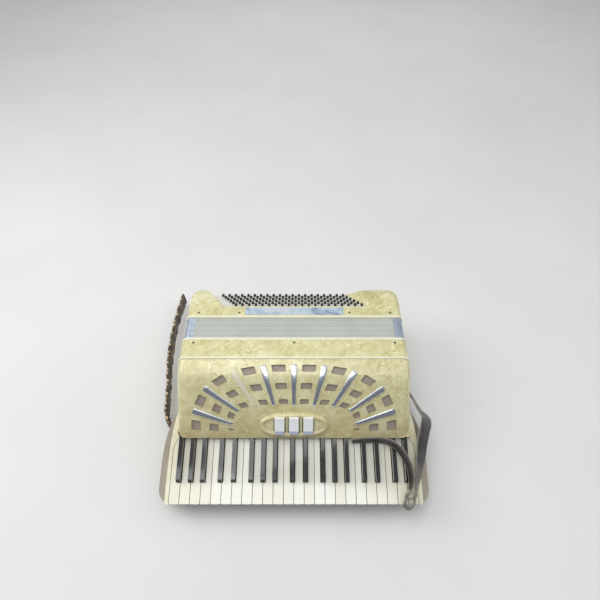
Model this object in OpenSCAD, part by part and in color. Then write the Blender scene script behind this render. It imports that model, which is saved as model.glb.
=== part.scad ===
// Piano accordion: 41 treble keys, 120 bass buttons, three treble registers.
// It lies on its back. +X runs from the low keys (chin end) to the high keys (knee end),
// +Y from the keyboard to the bass end, +Z out of the grille. Units are millimetres.
// Origin: middle of the back of the treble casing, in the plane where the bellows start.

/* [Casing] */
// Length of the casings along the keyboard
body_l = 450; // [430:5:470]
// Depth of the casings, back to front
body_d = 200; // [195:1:205]
// Thickness of the casing walls
wall = 6; // [5:0.5:7]
// Radius of the long casing edges
edge_r = 14; // [8:1:18]
// Width of the flat band of the treble casing
band_w = 40; // [36:1:44]
// Width of the bass casing
bass_w = 104; // [102:1:108]

/* [Bellows] */
// Folds in the bellows, in pairs
folds = 16; // [16]
// Pitch of a closed fold
fold_pitch = 3.125; // [3:0.125:3.5]
// Depth of a fold
fold_depth = 26; // [20:1:28]
// Thickness of the wooden frame at each end of the bellows
frame_t = 6; // [5:0.5:7]

/* [Keyboard] */
// Pitch of the white keys
key_pitch = 19.6; // [19:0.1:19.8]
// Slope of the keyboard against the casing
key_tilt = 17; // [15:0.5:18]
// Distance from the key axle to the front edge of a white key
white_reach = 202; // [200:1:204]
// Distance from the key axle to the front of a black key
black_reach = 163; // [160:1:164]
// Width of a black key
black_w = 9.6; // [9:0.1:10.5]

/* [Bass buttons] */
// Buttons in one row
columns = 20; // [20]
// Pitch of the buttons along a row
button_pitch = 14.4; // [14:0.1:14.6]
// Distance between two rows
row_pitch = 11; // [10.8:0.1:11.2]
// Radius of a button
button_r = 3.2; // [2.8:0.1:3.4]

/* [Grille] */
// Thickness of the grille shell
grille_t = 3; // [2.5:0.5:3]
// Radius of the grille's shoulder
shoulder_r = 70; // [68:1:72]

/* [Hidden] */
$fn = 48;
gap = 0.3;
eps = 1;
half_l = body_l / 2;

KEY_NODES = ["keys_f", "keys_f_sharp", "keys_g", "keys_g_sharp", "keys_a", "keys_a_sharp",
             "keys_b", "keys_c", "keys_c_sharp", "keys_d", "keys_d_sharp", "keys_e"];
FOLD_NODES = [for (i = [1 : folds / 4]) str("bellows_folds_", i)];
ROW_NODES = ["buttons_counterbass", "buttons_bass", "buttons_major", "buttons_minor",
             "buttons_seventh", "buttons_diminished"];

// Places along Y, from the keyboard to the bass end
fold_y0 = frame_t;
fold_y1 = fold_y0 + folds * fold_pitch;
bass_y0 = fold_y1 + frame_t;
bass_y1 = bass_y0 + bass_w;
band_y = -band_w;
lower_y = -150;

// Colours
pearl = [0.85, 0.80, 0.62];
cream = [0.95, 0.93, 0.82];
chrome = [0.72, 0.75, 0.80];
wood = [0.72, 0.56, 0.38];
leather = [0.16, 0.11, 0.09];
steel = [0.55, 0.56, 0.58];
felt = [0.45, 0.12, 0.12];
black = [0.05, 0.05, 0.06];

// ---------- helpers ----------

function arc(cx, cy, r, a0, a1, n) =
    [for (i = [0 : n]) let (a = a0 + (a1 - a0) * i / n) [cx + r * cos(a), cy + r * sin(a)]];

// Outline of a rounded rectangle between two corners
function round_rect(x0, y0, x1, y1, r, n = 8) = concat(
    arc(x1 - r, y1 - r, r, 0, 90, n), arc(x0 + r, y1 - r, r, 90, 180, n),
    arc(x0 + r, y0 + r, r, 180, 270, n), arc(x1 - r, y0 + r, r, 270, 360, n));

// Extrudes an outline drawn in (X, Z) from y0 to y1
module along_y(y0, y1) {
    translate([0, y1, 0]) rotate([90, 0, 0]) linear_extrude(y1 - y0) children();
}

// Extrudes an outline drawn in (Y, Z) from x0 to x1
module along_x(x0, x1) {
    translate([x0, 0, 0]) rotate([90, 0, 90]) linear_extrude(x1 - x0) children();
}

module box(x0, y0, z0, x1, y1, z1) {
    translate([x0, y0, z0]) cube([x1 - x0, y1 - y0, z1 - z0]);
}

module both_ends() {
    children();
    mirror([1, 0, 0]) children();
}

// The casing's cross-section in (X, Z), pulled in all round by inset
module casing_section(inset = 0) {
    polygon(round_rect(-half_l + inset, inset, half_l - inset, body_d - inset, edge_r - inset / 2));
}

// A ring with the casing's outline
module casing_ring(y0, y1, outset, depth) {
    along_y(y0, y1) difference() {
        casing_section(outset);
        polygon(round_rect(-half_l + outset + depth, outset + depth, half_l - outset - depth,
                           body_d - outset - depth, 6));
    }
}

// ---------- treble casing ----------

lower_back_z = 57.4;
end_wall_z = 106;
slope_in = 16;
lower_outer = [[band_y + eps, 0], [lower_y + slope_in, 0], [lower_y, slope_in],
               [lower_y, lower_back_z], [band_y + eps, lower_back_z]];
lower_inner = [[band_y + 2 * eps, wall], [lower_y + slope_in + 2, wall],
               [lower_y + wall, slope_in + 2], [lower_y + wall, lower_back_z + eps],
               [band_y + 2 * eps, lower_back_z + eps]];
end_wall = [[band_y + eps, 0], [lower_y + slope_in, 0], [lower_y, slope_in],
            [lower_y, end_wall_z], [band_y + eps, end_wall_z]];

module treble_casing() {
    color(pearl) difference() {
        treble_shell();
        lever_slot();
    }
}

module treble_shell() {
    union() {
        casing_ring(band_y, 0, 0, wall);
        intersection() {
            along_y(lower_y - eps, band_y) casing_section();
            union() {
                difference() {
                    along_x(-half_l, half_l) polygon(lower_outer);
                    along_x(-half_l + wall, half_l - wall) polygon(lower_inner);
                }
                both_ends() along_x(half_l - wall, half_l) polygon(end_wall);
            }
        }
    }
}

soundboard_t = 6;

module treble_soundboard() {
    color(wood) along_y(band_y, band_y + soundboard_t) casing_section(wall + gap);
}

// Reed blocks stand on the soundboards and reach into the bellows
block_count = 4;
block_pitch = 34;
block_t = 16;
block_l = 384;
treble_block_y0 = band_y + soundboard_t;
treble_block_y1 = 27;

function block_z(i) = body_d / 2 + (i - (block_count - 1) / 2) * block_pitch;

module reed_blocks(y0, y1) {
    for (i = [0 : block_count - 1])
        box(-block_l / 2, y0, block_z(i) - block_t / 2, block_l / 2, y1, block_z(i) + block_t / 2);
}

module treble_reed_blocks() { color(wood) reed_blocks(treble_block_y0, treble_block_y1); }

plates_per_side = 12;
plate_pitch = block_l / plates_per_side;
plate_d = 46;
plate_t = 1.5;

module treble_reed_plates() {
    color(chrome) for (i = [0 : block_count - 1], side = [-1, 1], k = [0 : plates_per_side - 1])
        translate([-block_l / 2 + (k + 0.5) * plate_pitch, (treble_block_y0 + treble_block_y1) / 2,
                   block_z(i) + side * (block_t + plate_t) / 2])
            cube([plate_pitch - 4, plate_d, plate_t], center = true);
}

// ---------- grille ----------
// s runs down the grille from its seam with the band: a short flat, a shoulder arc, a straight slope.

seam_flat = 5;
slope_0 = 6;
slope_1 = 46;
arc_len = shoulder_r * (slope_1 - slope_0) * PI / 180;
slope_len = 106;
seam_drop = 0.4;
arc_cy = band_y - seam_flat * cos(slope_0) + shoulder_r * sin(slope_0);
arc_cz = body_d - seam_flat * sin(slope_0) - shoulder_r * cos(slope_0);

function slope_at(s) = s < seam_flat ? slope_0
    : s < seam_flat + arc_len ? slope_0 + (s - seam_flat) / shoulder_r * 180 / PI : slope_1;
function grille_y(s) = s < seam_flat ? band_y - s * cos(slope_0)
    : s < seam_flat + arc_len ? arc_cy - shoulder_r * sin(slope_at(s))
    : arc_cy - shoulder_r * sin(slope_1) - (s - seam_flat - arc_len) * cos(slope_1);
function grille_z(s) = s < seam_flat ? body_d - s * sin(slope_0)
    : s < seam_flat + arc_len ? arc_cz + shoulder_r * cos(slope_at(s))
    : arc_cz + shoulder_r * cos(slope_1) - (s - seam_flat - arc_len) * sin(slope_1);

grille_len = seam_flat + arc_len + slope_len;
profile_steps = 16;
// Stations along the profile: its two straight ends, and steps round the arc
grille_s = concat([2 * gap], [for (i = [0 : profile_steps]) seam_flat + arc_len * i / profile_steps],
                  [grille_len]);

// The grille's outer profile moved inwards by depth, as points in (Y, Z)
function grille_profile(depth) = [for (s = grille_s)
    [grille_y(s) + depth * sin(slope_at(s)), grille_z(s) - depth * cos(slope_at(s))]];

grille_foot_y = lower_y - 1;
cap_z = end_wall_z + gap;

// The volume under the grille's skin; past pushes its open back and foot outwards, to cut with
module grille_solid(depth, x_inset, past = 0) {
    along_x(-half_l + x_inset, half_l - x_inset)
        polygon(concat([[band_y - gap + past, cap_z - past],
                        [band_y - gap + past, body_d - seam_drop - depth]],
                       grille_profile(depth), [[grille_foot_y + depth, cap_z - past]]));
}

// Places children on the grille: x along it, s down it, with the local Z standing off it
module on_grille(x, s, lift = 0) {
    translate([x, grille_y(s), grille_z(s)]) rotate([slope_at(s), 0, 0]) translate([0, 0, lift])
        children();
}

// Two nested rounded outlines carry the fan: their centre, half sizes and exponent
fan_s = 153;
function rounded(a, half_x, half_s, n) =
    let (r = pow(pow(abs(sin(a)) / half_x, n) + pow(abs(cos(a)) / half_s, n), -1 / n))
    [r * sin(a), fan_s - r * cos(a)];
function fan_outer(a) = rounded(a, 198, 138, 2.8);
function fan_inner(a) = rounded(a, 118, 58, 4.5);

slat_outer_a = [0, 23.7, 43.2, 61.7, 76.3];
slat_inner_a = [0, 33.5, 52.8, 66.1, 79.7];
window_outer_a = [12.3, 34, 52.6, 69.2, 84.4];
window_inner_a = [18, 44, 60, 73, 85.2];
// The last window of the lowest ray is only a slit
slit_w = 3.5;
slit_shift = 0.06;
// Windows along a ray, from its outer end: start, end, width at the start and at the end
window_rings = [[0.00, 0.17, 27.6, 25.6], [0.44, 0.60, 22.4, 21], [0.84, 0.97, 18, 16.5]];
// Windows get narrower from the middle of the fan to its ends
window_fade = 1.7;
// and longer along their rays
window_stretch = 0.09;

function mix(a, b, t) = a + (b - a) * t;

// How far the tangent of the fan's outline leans from the perpendicular of the ray, as a tangent
function ray_lean(angle_out, angle_in, t) =
    let (p = fan_outer(angle_out), q = fan_inner(angle_in),
         tangent = mix(unit(fan_outer(angle_out + 1) - fan_outer(angle_out - 1)),
                       unit(fan_inner(angle_in + 1) - fan_inner(angle_in - 1)), t),
         ray = unit(q - p))
    (tangent * ray) / (tangent * [-ray[1], ray[0]]);
function unit(v) = v / norm(v);

// One window or slat: a quadrilateral between t0 and t1 of the ray from p to q
module ray_piece(p, q, t0, t1, w0, w1, height, lift, lean = 0) {
    mid = mix(p, q, (t0 + t1) / 2);
    half = norm(q - p) * (t1 - t0) / 2;
    turn = atan2(q[0] - p[0], q[1] - p[1]);
    on_grille(mid[0], mid[1], lift) rotate([0, 0, turn]) linear_extrude(height)
        polygon([[-w1 / 2, -half - lean * w1 / 2], [w1 / 2, -half + lean * w1 / 2],
                 [w0 / 2, half + lean * w0 / 2], [-w0 / 2, half - lean * w0 / 2]]);
}

module windows() {
    for (side = [-1, 1], k = [0 : 4], ring = window_rings) {
        p = fan_outer(window_outer_a[k]);
        q = fan_inner(window_inner_a[k]);
        lean = ray_lean(window_outer_a[k], window_inner_a[k], ring[0]);
        slit = k == 4 && ring[0] > 0.8;
        w0 = slit ? slit_w : ring[2] - window_fade * k;
        w1 = slit ? slit_w : ring[3] - window_fade * k;
        start = ring[0] + (slit ? slit_shift : 0);
        end = start + (ring[1] - ring[0]) * (slit ? 1 : 1 + window_stretch * k);
        ray_piece([side * p[0], p[1]], [side * q[0], q[1]], start, end, w0, w1, 16, -8, side * lean);
    }
}

switch_s = 133;
switch_pitch = 27.5;
switch_w = 18;
switch_len = 35;

module switch_slots() {
    for (i = [-1 : 1]) on_grille(i * switch_pitch, switch_s, -12)
        translate([-switch_w / 2 - 1, -switch_len / 2 - 1, 0]) cube([switch_w + 2, switch_len + 2, 30]);
}

bezel_w = 134;
bezel_h = 49;

module bezel() {
    bezel_s = 133.5;
    on_grille(0, bezel_s, -2) linear_extrude(7)
        polygon(round_rect(-bezel_w / 2, -bezel_h / 2, bezel_w / 2, bezel_h / 2, 22));
}

module treble_grille() {
    color(pearl) intersection() {
        along_y(-200, band_y) casing_section();
        difference() {
            union() {
                grille_solid(0, 0);
                bezel();
            }
            grille_solid(grille_t, grille_t, eps);
            windows();
            switch_slots();
        }
    }
}

// A half-round strip hides the joint between the grille and the casing's band
module grille_moulding() {
    moulding_r = 3;
    color(cream) intersection() {
        translate([-half_l + edge_r, band_y - 1, body_d]) rotate([0, 90, 0])
            cylinder(r = moulding_r, h = 2 * (half_l - edge_r));
        box(-half_l, band_y - 10, body_d + 0.02, half_l, band_y + 10, body_d + 10);
    }
}

slat_t = 1.6;
slat_w0 = 12.6;
slat_w1 = 6.4;
slat_lift = 0.35;
slat_steps = 5;

module grille_slats() {
    color(chrome) for (k = [0 : 4], side = k == 0 ? [1] : [-1, 1]) {
        p = fan_outer(slat_outer_a[k]);
        q = fan_inner(slat_inner_a[k]);
        for (i = [0 : slat_steps - 1]) {
            t0 = i / slat_steps;
            t1 = (i + 1) / slat_steps;
            ray_piece([side * p[0], p[1]], [side * q[0], q[1]], t0, t1 + 0.01,
                      mix(slat_w0, slat_w1, t0), mix(slat_w0, slat_w1, t1), slat_t, slat_lift);
        }
    }
}

module grille_cloth() {
    cloth_gap = 0.8;
    cloth_t = 0.8;
    color([0.42, 0.33, 0.28]) difference() {
        intersection() {
            difference() {
                grille_solid(grille_t + cloth_gap, grille_t + 4);
                grille_solid(grille_t + cloth_gap + cloth_t, grille_t + 4 - eps, eps);
            }
            box(-half_l + 10, grille_foot_y + 6, cap_z + 14, half_l - 10, band_y - 8, body_d);
        }
        on_grille(0, switch_s, -20) translate([-bezel_w / 2, -24, 0]) cube([bezel_w, 48, 40]);
    }
}

// ---------- registers ----------

register_drop = 7;
switch_top = 11;
switch_axle_r = 1.5;

// The switch rocks on an axle that runs along X under its middle
module register_switch(i) {
    color(cream) on_grille(i * switch_pitch, switch_s) difference() {
        union() {
            translate([-switch_w / 2, 0, 0]) rotate([90, 0, 90]) linear_extrude(switch_w)
                polygon([[-switch_len / 2, 3], [-switch_len / 2, switch_top - 2],
                         [-switch_len / 2 + 1.5, switch_top],
                         [0, switch_top - 1.4], [switch_len / 2 - 1.5, switch_top],
                         [switch_len / 2, switch_top - 2], [switch_len / 2, 3]]);
            translate([-4, -4, -register_drop - 3]) cube([8, 8, register_drop + 7]);
        }
        translate([-switch_w, 0, -register_drop]) rotate([0, 90, 0])
            cylinder(r = switch_axle_r + 0.05, h = 2 * switch_w);
    }
}

module register_axle() {
    color(steel) on_grille(-49, switch_s, -register_drop) rotate([0, 90, 0])
        cylinder(r = switch_axle_r, h = 98);
}

module register_frame() {
    ear_x = 44;
    ear_t = 3;
    foot = 13;
    color(steel) on_grille(0, switch_s, -register_drop) difference() {
        union() {
            both_ends() translate([ear_x, -7, -foot])
                cube([ear_t, 14, foot + register_drop - grille_t - 0.1]);
            translate([-ear_x - ear_t, -7, -foot]) cube([2 * (ear_x + ear_t), 14, 2]);
        }
        translate([-60, 0, 0]) rotate([0, 90, 0]) cylinder(r = switch_axle_r + 0.05, h = 120);
    }
}

// ---------- keyboard ----------
// Key coordinates: origin on the key axle, local -Y out to the player, local Z off the keyboard.

axle_y = -73;
axle_z = 100;
axle_r = 1.5;
white_top = 12;
white_t = 12;
black_top = 24.5;
key_root = 75;
head_end = black_reach + 1.5;
bed_top = -8;
bed_t = 10;
bed_reach = white_reach + 1;
octave = [0, 2, 4, 6, 7, 9, 11];
white_count = 24;
key_gap = 0.5;

module key_frame() {
    translate([0, axle_y, axle_z]) rotate([key_tilt, 0, 0]) children();
}

// White keys run F G A B C D E; black_after says which has a black key above its right edge, and its offset
black_after = [-3.2, 0, 3.2, undef, -2.6, 2.6, undef];

function white_x(i) = (i - white_count / 2) * key_pitch;
function has_black(i) = i >= 0 && i < white_count - 1 && !is_undef(black_after[i % 7]);
function black_x(i) = white_x(i + 1) + black_after[i % 7];
function stem_x0(i) = has_black(i - 1) ? black_x(i - 1) + black_w / 2 + key_gap : white_x(i) + key_gap;
function stem_x1(i) = has_black(i) ? black_x(i) - black_w / 2 - key_gap : white_x(i + 1) - key_gap;

// Levers fan in towards the middle, so that they all fit between the end walls
lever_fan = 0.91;
lever_w = 6;
lever_z0 = -1;
lever_z1 = 7.5;
lever_back = 6;
arm_w = 3;
lever_front = 140;
fan_from = key_root - 1;
fan_to = 63;
arm_top = 62;
// Levers of the end keys are narrow, and start nearer the axle
end_lever_w = 2.4;
end_lever_from = 97;
end_lever_x = [228, 226];
last_lever_x = [227, 224];
slot_x = 216;
slot_w = 13;
slot_from = 92;
slot_to = 60;
slot_top = 9.8;

// A bent lever with its boss on the axle and an arm that rises to the pallet: it runs straight back
// from x_front at distance from, turns at fan_from and ends at x_in
module lever(x_front, x_turn, x_in, w, from) {
    half = w / 2;
    boss = lever_w / 2;
    difference() {
        union() {
            translate([0, 0, lever_z0]) linear_extrude(lever_z1 - lever_z0) polygon([
                [x_front - half, -from], [x_front + half, -from], [x_turn + half, -fan_from],
                [x_in + half, -fan_to], [x_in + half, lever_back], [x_in - half, lever_back],
                [x_in - half, -fan_to], [x_turn - half, -fan_from]]);
            translate([x_in - boss + 0.1, 0, 0]) rotate([0, 90, 0]) cylinder(r = 5, h = lever_w - 0.2);
            translate([x_in - arm_w / 2, 1.8, 0]) cube([arm_w, 4, arm_top]);
        }
        translate([x_in - lever_w, 0, 0]) rotate([0, 90, 0])
            cylinder(r = axle_r + 0.05, h = 2 * lever_w);
    }
}

// A slot at each end, below the playing surface, clears the levers of the end keys
module lever_slot() {
    key_frame() both_ends() translate([slot_x, -slot_from, bed_top])
        cube([slot_w, slot_from - slot_to, slot_top - bed_top]);
}

// The pallet sits square on the soundboard, so it is drawn in casing coordinates
pallet_t = 5;
pallet_w = 8.4;
pallet_z = 146;
pallet_y = band_y - gap;

module pallet(x, z) {
    x_in = x * lever_fan;
    box(x_in - pallet_w / 2, pallet_y - pallet_t, z - 13, x_in + pallet_w / 2, pallet_y, z + 13);
    box(x_in - 1.2, pallet_y - 50, z - 3, x_in + 1.2, pallet_y - pallet_t + eps, z + 3);
}

// The outer edge of an end key curves in towards the casing between these distances from the axle
curve_from = 108;
curve_to = 83;
curve_lean = 9;
curve_steps = 8;
function end_edge(y) = white_count / 2 * key_pitch - key_gap
    - curve_lean * pow(max(curve_from - y, 0) / (curve_from - curve_to), 2);
function end_curve(outset) = [for (i = [0 : curve_steps])
    let (y = mix(curve_from, curve_to, i / curve_steps)) [end_edge(y) + outset, -y]];
function flip(points) = [for (i = [len(points) - 1 : -1 : 0]) [-points[i][0], points[i][1]]];

module white_key(i) {
    x0 = white_x(i) + key_gap;
    x1 = white_x(i + 1) - key_gap;
    s0 = stem_x0(i);
    s1 = stem_x1(i);
    stem = (s0 + s1) / 2;
    r = 2;
    first = i == 0;
    final = i == white_count - 1;
    front = concat(arc(x0 + r, -white_reach + r, r, 180, 270, 3),
                   arc(x1 - r, -white_reach + r, r, 270, 360, 3));
    right = final ? end_curve(0) : [[x1, -head_end], [s1, -head_end]];
    left = first ? flip(end_curve(0)) : [[s0, -head_end], [x0, -head_end]];
    back = first ? [[s1, -curve_to]] : final ? [[s0, -curve_to]] : [[s1, -key_root], [s0, -key_root]];
    key_frame() {
        translate([0, 0, white_top - white_t]) linear_extrude(white_t)
            polygon(concat(front, right, back, left));
        if (first) lever(-end_lever_x[0], -end_lever_x[1], stem * lever_fan, end_lever_w, end_lever_from);
        else if (final)
            lever(last_lever_x[0], last_lever_x[1], stem * lever_fan, end_lever_w, end_lever_from);
        else lever(stem, stem, stem * lever_fan, lever_w, lever_front);
    }
    pallet(stem, pallet_z);
}

module black_key(i) {
    x = black_x(i);
    front_slope = 4;
    side_slope = 1;
    key_frame() {
        intersection() {
            translate([x - black_w / 2, 0, 0]) rotate([90, 0, 90]) linear_extrude(black_w)
                polygon([[-black_reach, 1], [-black_reach, black_top - 4],
                         [-black_reach + front_slope, black_top],
                         [-key_root - 4, black_top], [-key_root - 4, 1]]);
            translate([x, -key_root, 0]) rotate([90, 0, 0]) linear_extrude(black_reach)
                polygon([[-black_w / 2, 0], [black_w / 2, 0],
                         [black_w / 2 - side_slope, black_top + 1],
                         [-black_w / 2 + side_slope, black_top + 1]]);
        }
        lever(x, x, x * lever_fan, lever_w, lever_front);
    }
    pallet(x, pallet_z);
}

// All keys of one pitch class: they have the same shape
module key_class(k) {
    whites = [for (j = [0 : 6]) if (octave[j] == k) j];
    if (len(whites) > 0)
        color(cream) for (i = [whites[0] : 7 : white_count - 1]) white_key(i);
    else
        color(black) for (i = [0 : white_count - 2])
            if (has_black(i) && octave[i % 7] + 1 == k) black_key(i);
}

inner_half = half_l - wall - 0.5;
bed_neck = 87;
bed_back = 24;
bed_flare = 35;
ear_x = half_l + 1;
ear_from = 8;
ear_len = 145;
ear_power = 3;
ear_steps = 10;
front_r = 28;

// Half the width at a distance y in front of the axle: the sides widen in a flowing curve
function side_x(y, flare) = ear_x + flare * (1 - pow(1 - min((y - ear_from) / ear_len, 1), ear_power));

// A curved right side from the ear to the front corner
function side_curve(flare, from, r) = concat(
    [for (i = [0 : ear_steps - 1]) let (y = mix(from, bed_reach - r, i / ear_steps))
        [side_x(y, flare), -y]],
    arc(ear_x + flare - r, -bed_reach + r, r, 0, -90, 6));

module keyboard_bed() {
    right = concat([[inner_half, -bed_back], [inner_half, -bed_neck], [ear_x, -bed_neck]],
                   side_curve(bed_flare, ear_from, front_r));
    color(pearl) {
        key_frame() translate([0, 0, bed_top - bed_t]) linear_extrude(bed_t)
            polygon(concat(right, flip(right)));
        axle_rails();
    }
}

// Two bored rails carry the ends of the key axle
module axle_rails() {
    rail_w = 4;
    key_frame() both_ends() translate([inner_half - rail_w, 0, 0]) difference() {
        union() {
            translate([0, -34, bed_top - eps]) cube([rail_w, 39, 10]);
            rotate([0, 90, 0]) cylinder(r = 6, h = rail_w);
        }
        translate([-eps, 0, 0]) rotate([0, 90, 0]) cylinder(r = axle_r + 0.05, h = rail_w + 2 * eps);
    }
}

module key_axle() {
    color(steel) key_frame() translate([-inner_half + 0.2, 0, 0]) rotate([0, 90, 0])
        cylinder(r = axle_r, h = 2 * (inner_half - 0.2));
}

cheek_gap = 0.9;
cheek_x0 = end_edge(bed_reach) + cheek_gap;
cheek_flare = 17;
cheek_from = 12;
cheek_r = 5;

module keyboard_cheeks() {
    color(cream) difference() {
        key_frame() both_ends() translate([0, 0, bed_top + 0.02]) linear_extrude(white_top - bed_top)
            polygon(concat([[cheek_x0, -bed_reach]], end_curve(cheek_gap),
                           [[ear_x, -curve_to], [ear_x, -cheek_from]],
                           side_curve(cheek_flare, cheek_from, cheek_r)));
        lever_slot();
    }
}

module keyboard_felt() {
    felt_t = 1.6;
    color(felt) key_frame() box(-cheek_x0 + 1, -bed_reach + 6, bed_top + 0.02,
                                  cheek_x0 - 1, -bed_reach + 24, bed_top + felt_t);
}

// One return spring of bent wire lies under each lever, between the bed and the key
module key_springs() {
    spring_r = 0.6;
    color(steel) key_frame() for (i = [0 : white_count - 1]) {
        spring((stem_x0(i) + stem_x1(i)) / 2 * lever_fan, spring_r);
        if (has_black(i)) spring(black_x(i) * lever_fan, spring_r);
    }
}

module spring(x, r) {
    translate([x, -60, bed_top + r]) rotate([-90, 0, 0]) cylinder(r = r, h = 30, $fn = 16);
    translate([x, -32, bed_top + r]) cylinder(r = 0.8 * r, h = 5.4, $fn = 16);
}

// ---------- bellows ----------

// A wooden frame that carries one end of the bellows; its moulded rim stands proud of the casing
module bellows_frame(y0) {
    rim = 1;
    color(cream) along_y(y0 + 0.05, y0 + frame_t - 0.05) difference() {
        polygon(round_rect(-half_l - rim, 0, half_l + rim, body_d + rim, edge_r));
        polygon(round_rect(-half_l + fold_depth, fold_depth, half_l - fold_depth, body_d - fold_depth, 6));
    }
}

// Two folds, closed: two outer leaves joined by an inner band
module bellows_folds(i) {
    y = fold_y0 + (i - 1) * 4 * fold_pitch;
    leaf = fold_pitch - 0.25;
    color([0.78, 0.80, 0.78]) {
        for (k = [0 : 3])
            casing_ring(y + k * fold_pitch + 0.1, y + k * fold_pitch + leaf, 1.5, fold_depth - 1.5);
        casing_ring(y + 0.1, y + 3 * fold_pitch + leaf, fold_depth - 4, 4);
    }
}

pin_r = 2;

module bellows_pins(y, xs) {
    color(steel) for (x = xs) {
        translate([x, y, body_d - wall]) cylinder(r = pin_r - 0.5, h = wall + 0.2);
        translate([x, y, body_d + 0.1]) cylinder(r = pin_r, h = 1);
    }
}

treble_pin_x = [-200, 0, 200];
bass_pin_x = [-200, -115, 115, 200];
treble_pin_y = -6;
bass_pin_y = bass_y0 + 7;

module bellows_strap() {
    strap_w = 18;
    strap_t = 2.2;
    x = half_l + 1.4;
    color(leather) difference() {
        along_x(x, x + strap_t) polygon(round_rect(-30, body_d / 2 - strap_w / 2, bass_y0 + 24,
                                                   body_d / 2 + strap_w / 2, 8.9));
        translate([x - eps, strap_pivot_y, body_d / 2]) rotate([0, 90, 0])
            cylinder(r = 2.05, h = strap_t + 2 * eps);
    }
}

strap_pivot_y = -20;

// The screws that the two bellows straps turn on
module bellows_strap_screws() {
    color(chrome) both_ends() {
        translate([half_l - wall, strap_pivot_y, body_d / 2]) rotate([0, 90, 0])
            cylinder(r = 2, h = wall + 4.5);
        translate([half_l + 3.8, strap_pivot_y, body_d / 2]) rotate([0, 90, 0]) cylinder(r = 4.5, h = 1.5);
    }
}

// ---------- bass casing ----------

far_r = 66;
corner_r = 20;
band_back_y = bass_y0 + 23.5;
board_z0 = 188.5;
board_slope = 29;
board_t = 4;
board_len = (bass_y1 - wall - band_back_y) / cos(board_slope);
board_left = -147;
board_right = 166;
board_skew = 0.6;
sweep_r = 38;
row_0 = 23;
row_shift = button_pitch / 2;
row_centre = 9.2;
far_arc_steps = 20;

module bass_outer() {
    intersection() {
        along_y(bass_y0, bass_y1) casing_section();
        along_x(-half_l, half_l) polygon(concat([[bass_y0, 0], [bass_y1, 0]],
            arc(bass_y1 - far_r, body_d - far_r, far_r, 0, 90, far_arc_steps), [[bass_y0, body_d]]));
        linear_extrude(body_d) polygon(concat([[-half_l, bass_y0], [half_l, bass_y0]],
            arc(half_l - corner_r, bass_y1 - corner_r, corner_r, 0, 90, 8),
            arc(-half_l + corner_r, bass_y1 - corner_r, corner_r, 90, 180, 8)));
    }
}

module bass_cavity() {
    intersection() {
        along_x(-half_l + wall, half_l - wall)
            polygon(concat([[bass_y0 - eps, wall], [bass_y1 - wall, wall]],
                arc(bass_y1 - far_r, body_d - far_r, far_r - wall, 0, 90, far_arc_steps),
                [[bass_y0 - eps, body_d - wall]]));
        translate([0, 0, -eps]) linear_extrude(body_d + 2 * eps) polygon(concat(
            [[-half_l + wall, bass_y0 - 2 * eps], [half_l - wall, bass_y0 - 2 * eps]],
            arc(half_l - corner_r, bass_y1 - corner_r, corner_r - wall, 0, 90, 8),
            arc(-half_l + corner_r, bass_y1 - corner_r, corner_r - wall, 90, 180, 8)));
    }
}

// Board coordinates: origin at the foot of the step behind the front band, local Y down the slope
module board_frame() {
    translate([0, band_back_y, board_z0]) rotate([-board_slope, 0, 0]) children();
}

// Outline of the button board between two places down the slope, pulled in at the sides
module board_outline(y0, y1, inset) {
    polygon([[board_left + inset - board_skew * y0, y0], [board_right - inset - board_skew * y0, y0],
             [board_right - inset - board_skew * y1, y1], [board_left + inset - board_skew * y1, y1]]);
}

// The hollow above the button board: a straight wall on the left, a cylindrical sweep on the right
// The opening under the button board runs along the slanted ends of the rows
module rod_opening() {
    y0 = row_0 - 7;
    y1 = board_len - 2;
    r0 = (y0 - row_0) / row_pitch;
    r1 = (y1 - row_0) / row_pitch;
    side = 6;
    last = columns - 1;
    polygon([[button_x(r0, 0) - side, y0], [button_x(r0, last) + side, y0],
             [button_x(r1, last) + side, y1], [button_x(r1, 0) - side, y1]]);
}

module recess(grow) {
    lean = atan(board_skew);
    intersection() {
        board_frame() {
            translate([0, 0, -board_t - grow]) linear_extrude(120) board_outline(-40, 200, -grow);
            translate([board_right, 0, sweep_r]) rotate([-90, 0, lean]) translate([0, 0, -100])
                cylinder(r = sweep_r + grow, h = 300, $fn = 96);
        }
        box(-half_l, band_back_y - grow, 0, half_l, bass_y1 + 50, body_d + 100);
    }
}

module bass_casing() {
    skin = 4;
    color(pearl) difference() {
        bass_outer();
        difference() {
            bass_cavity();
            recess(skin);
        }
        recess(0);
        board_frame() translate([0, 0, -board_t - 20]) linear_extrude(21) rod_opening();
        box(-cover_half - 0.4, bass_y1 - wall - eps, cover_z0 - 0.4,
            cover_half + 0.4, bass_y1 + eps, cover_z1 + 0.4);
        translate([-half_l - eps, wheel_y, hand_strap_z]) rotate([0, 90, 0])
            cylinder(r = wheel_shaft_r + 0.05, h = wall + 2 * eps);
    }
}

module button_board() {
    color(cream) board_frame() difference() {
        translate([0, 0, -board_t + 0.05]) linear_extrude(board_t - 0.05)
            board_outline(3.4, board_len - 0.4, 0.4);
        for (r = [0 : 5], j = [0 : columns - 1])
            translate([button_x(r, j), row_0 + r * row_pitch, -board_t - eps])
                cylinder(r = button_r + 0.4, h = board_t + 2 * eps, $fn = 24);
    }
}

function button_x(r, j) = row_centre - row_shift * r + (j - (columns - 1) / 2) * button_pitch;

button_h = 5.5;

// Buttons of one row, each with its piston rod below the board
module button_row(r) {
    color(black) board_frame() for (j = [0 : columns - 1])
        translate([button_x(r, j), row_0 + r * row_pitch, 0]) {
            translate([0, 0, -7]) cylinder(r = button_r, h = 7 + button_h - 1);
            translate([0, 0, button_h - 1]) cylinder(r1 = button_r, r2 = button_r - 1, h = 1);
            translate([0, 0, -20]) cylinder(r = 1.2, h = 14, $fn = 16);
        }
}

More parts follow.
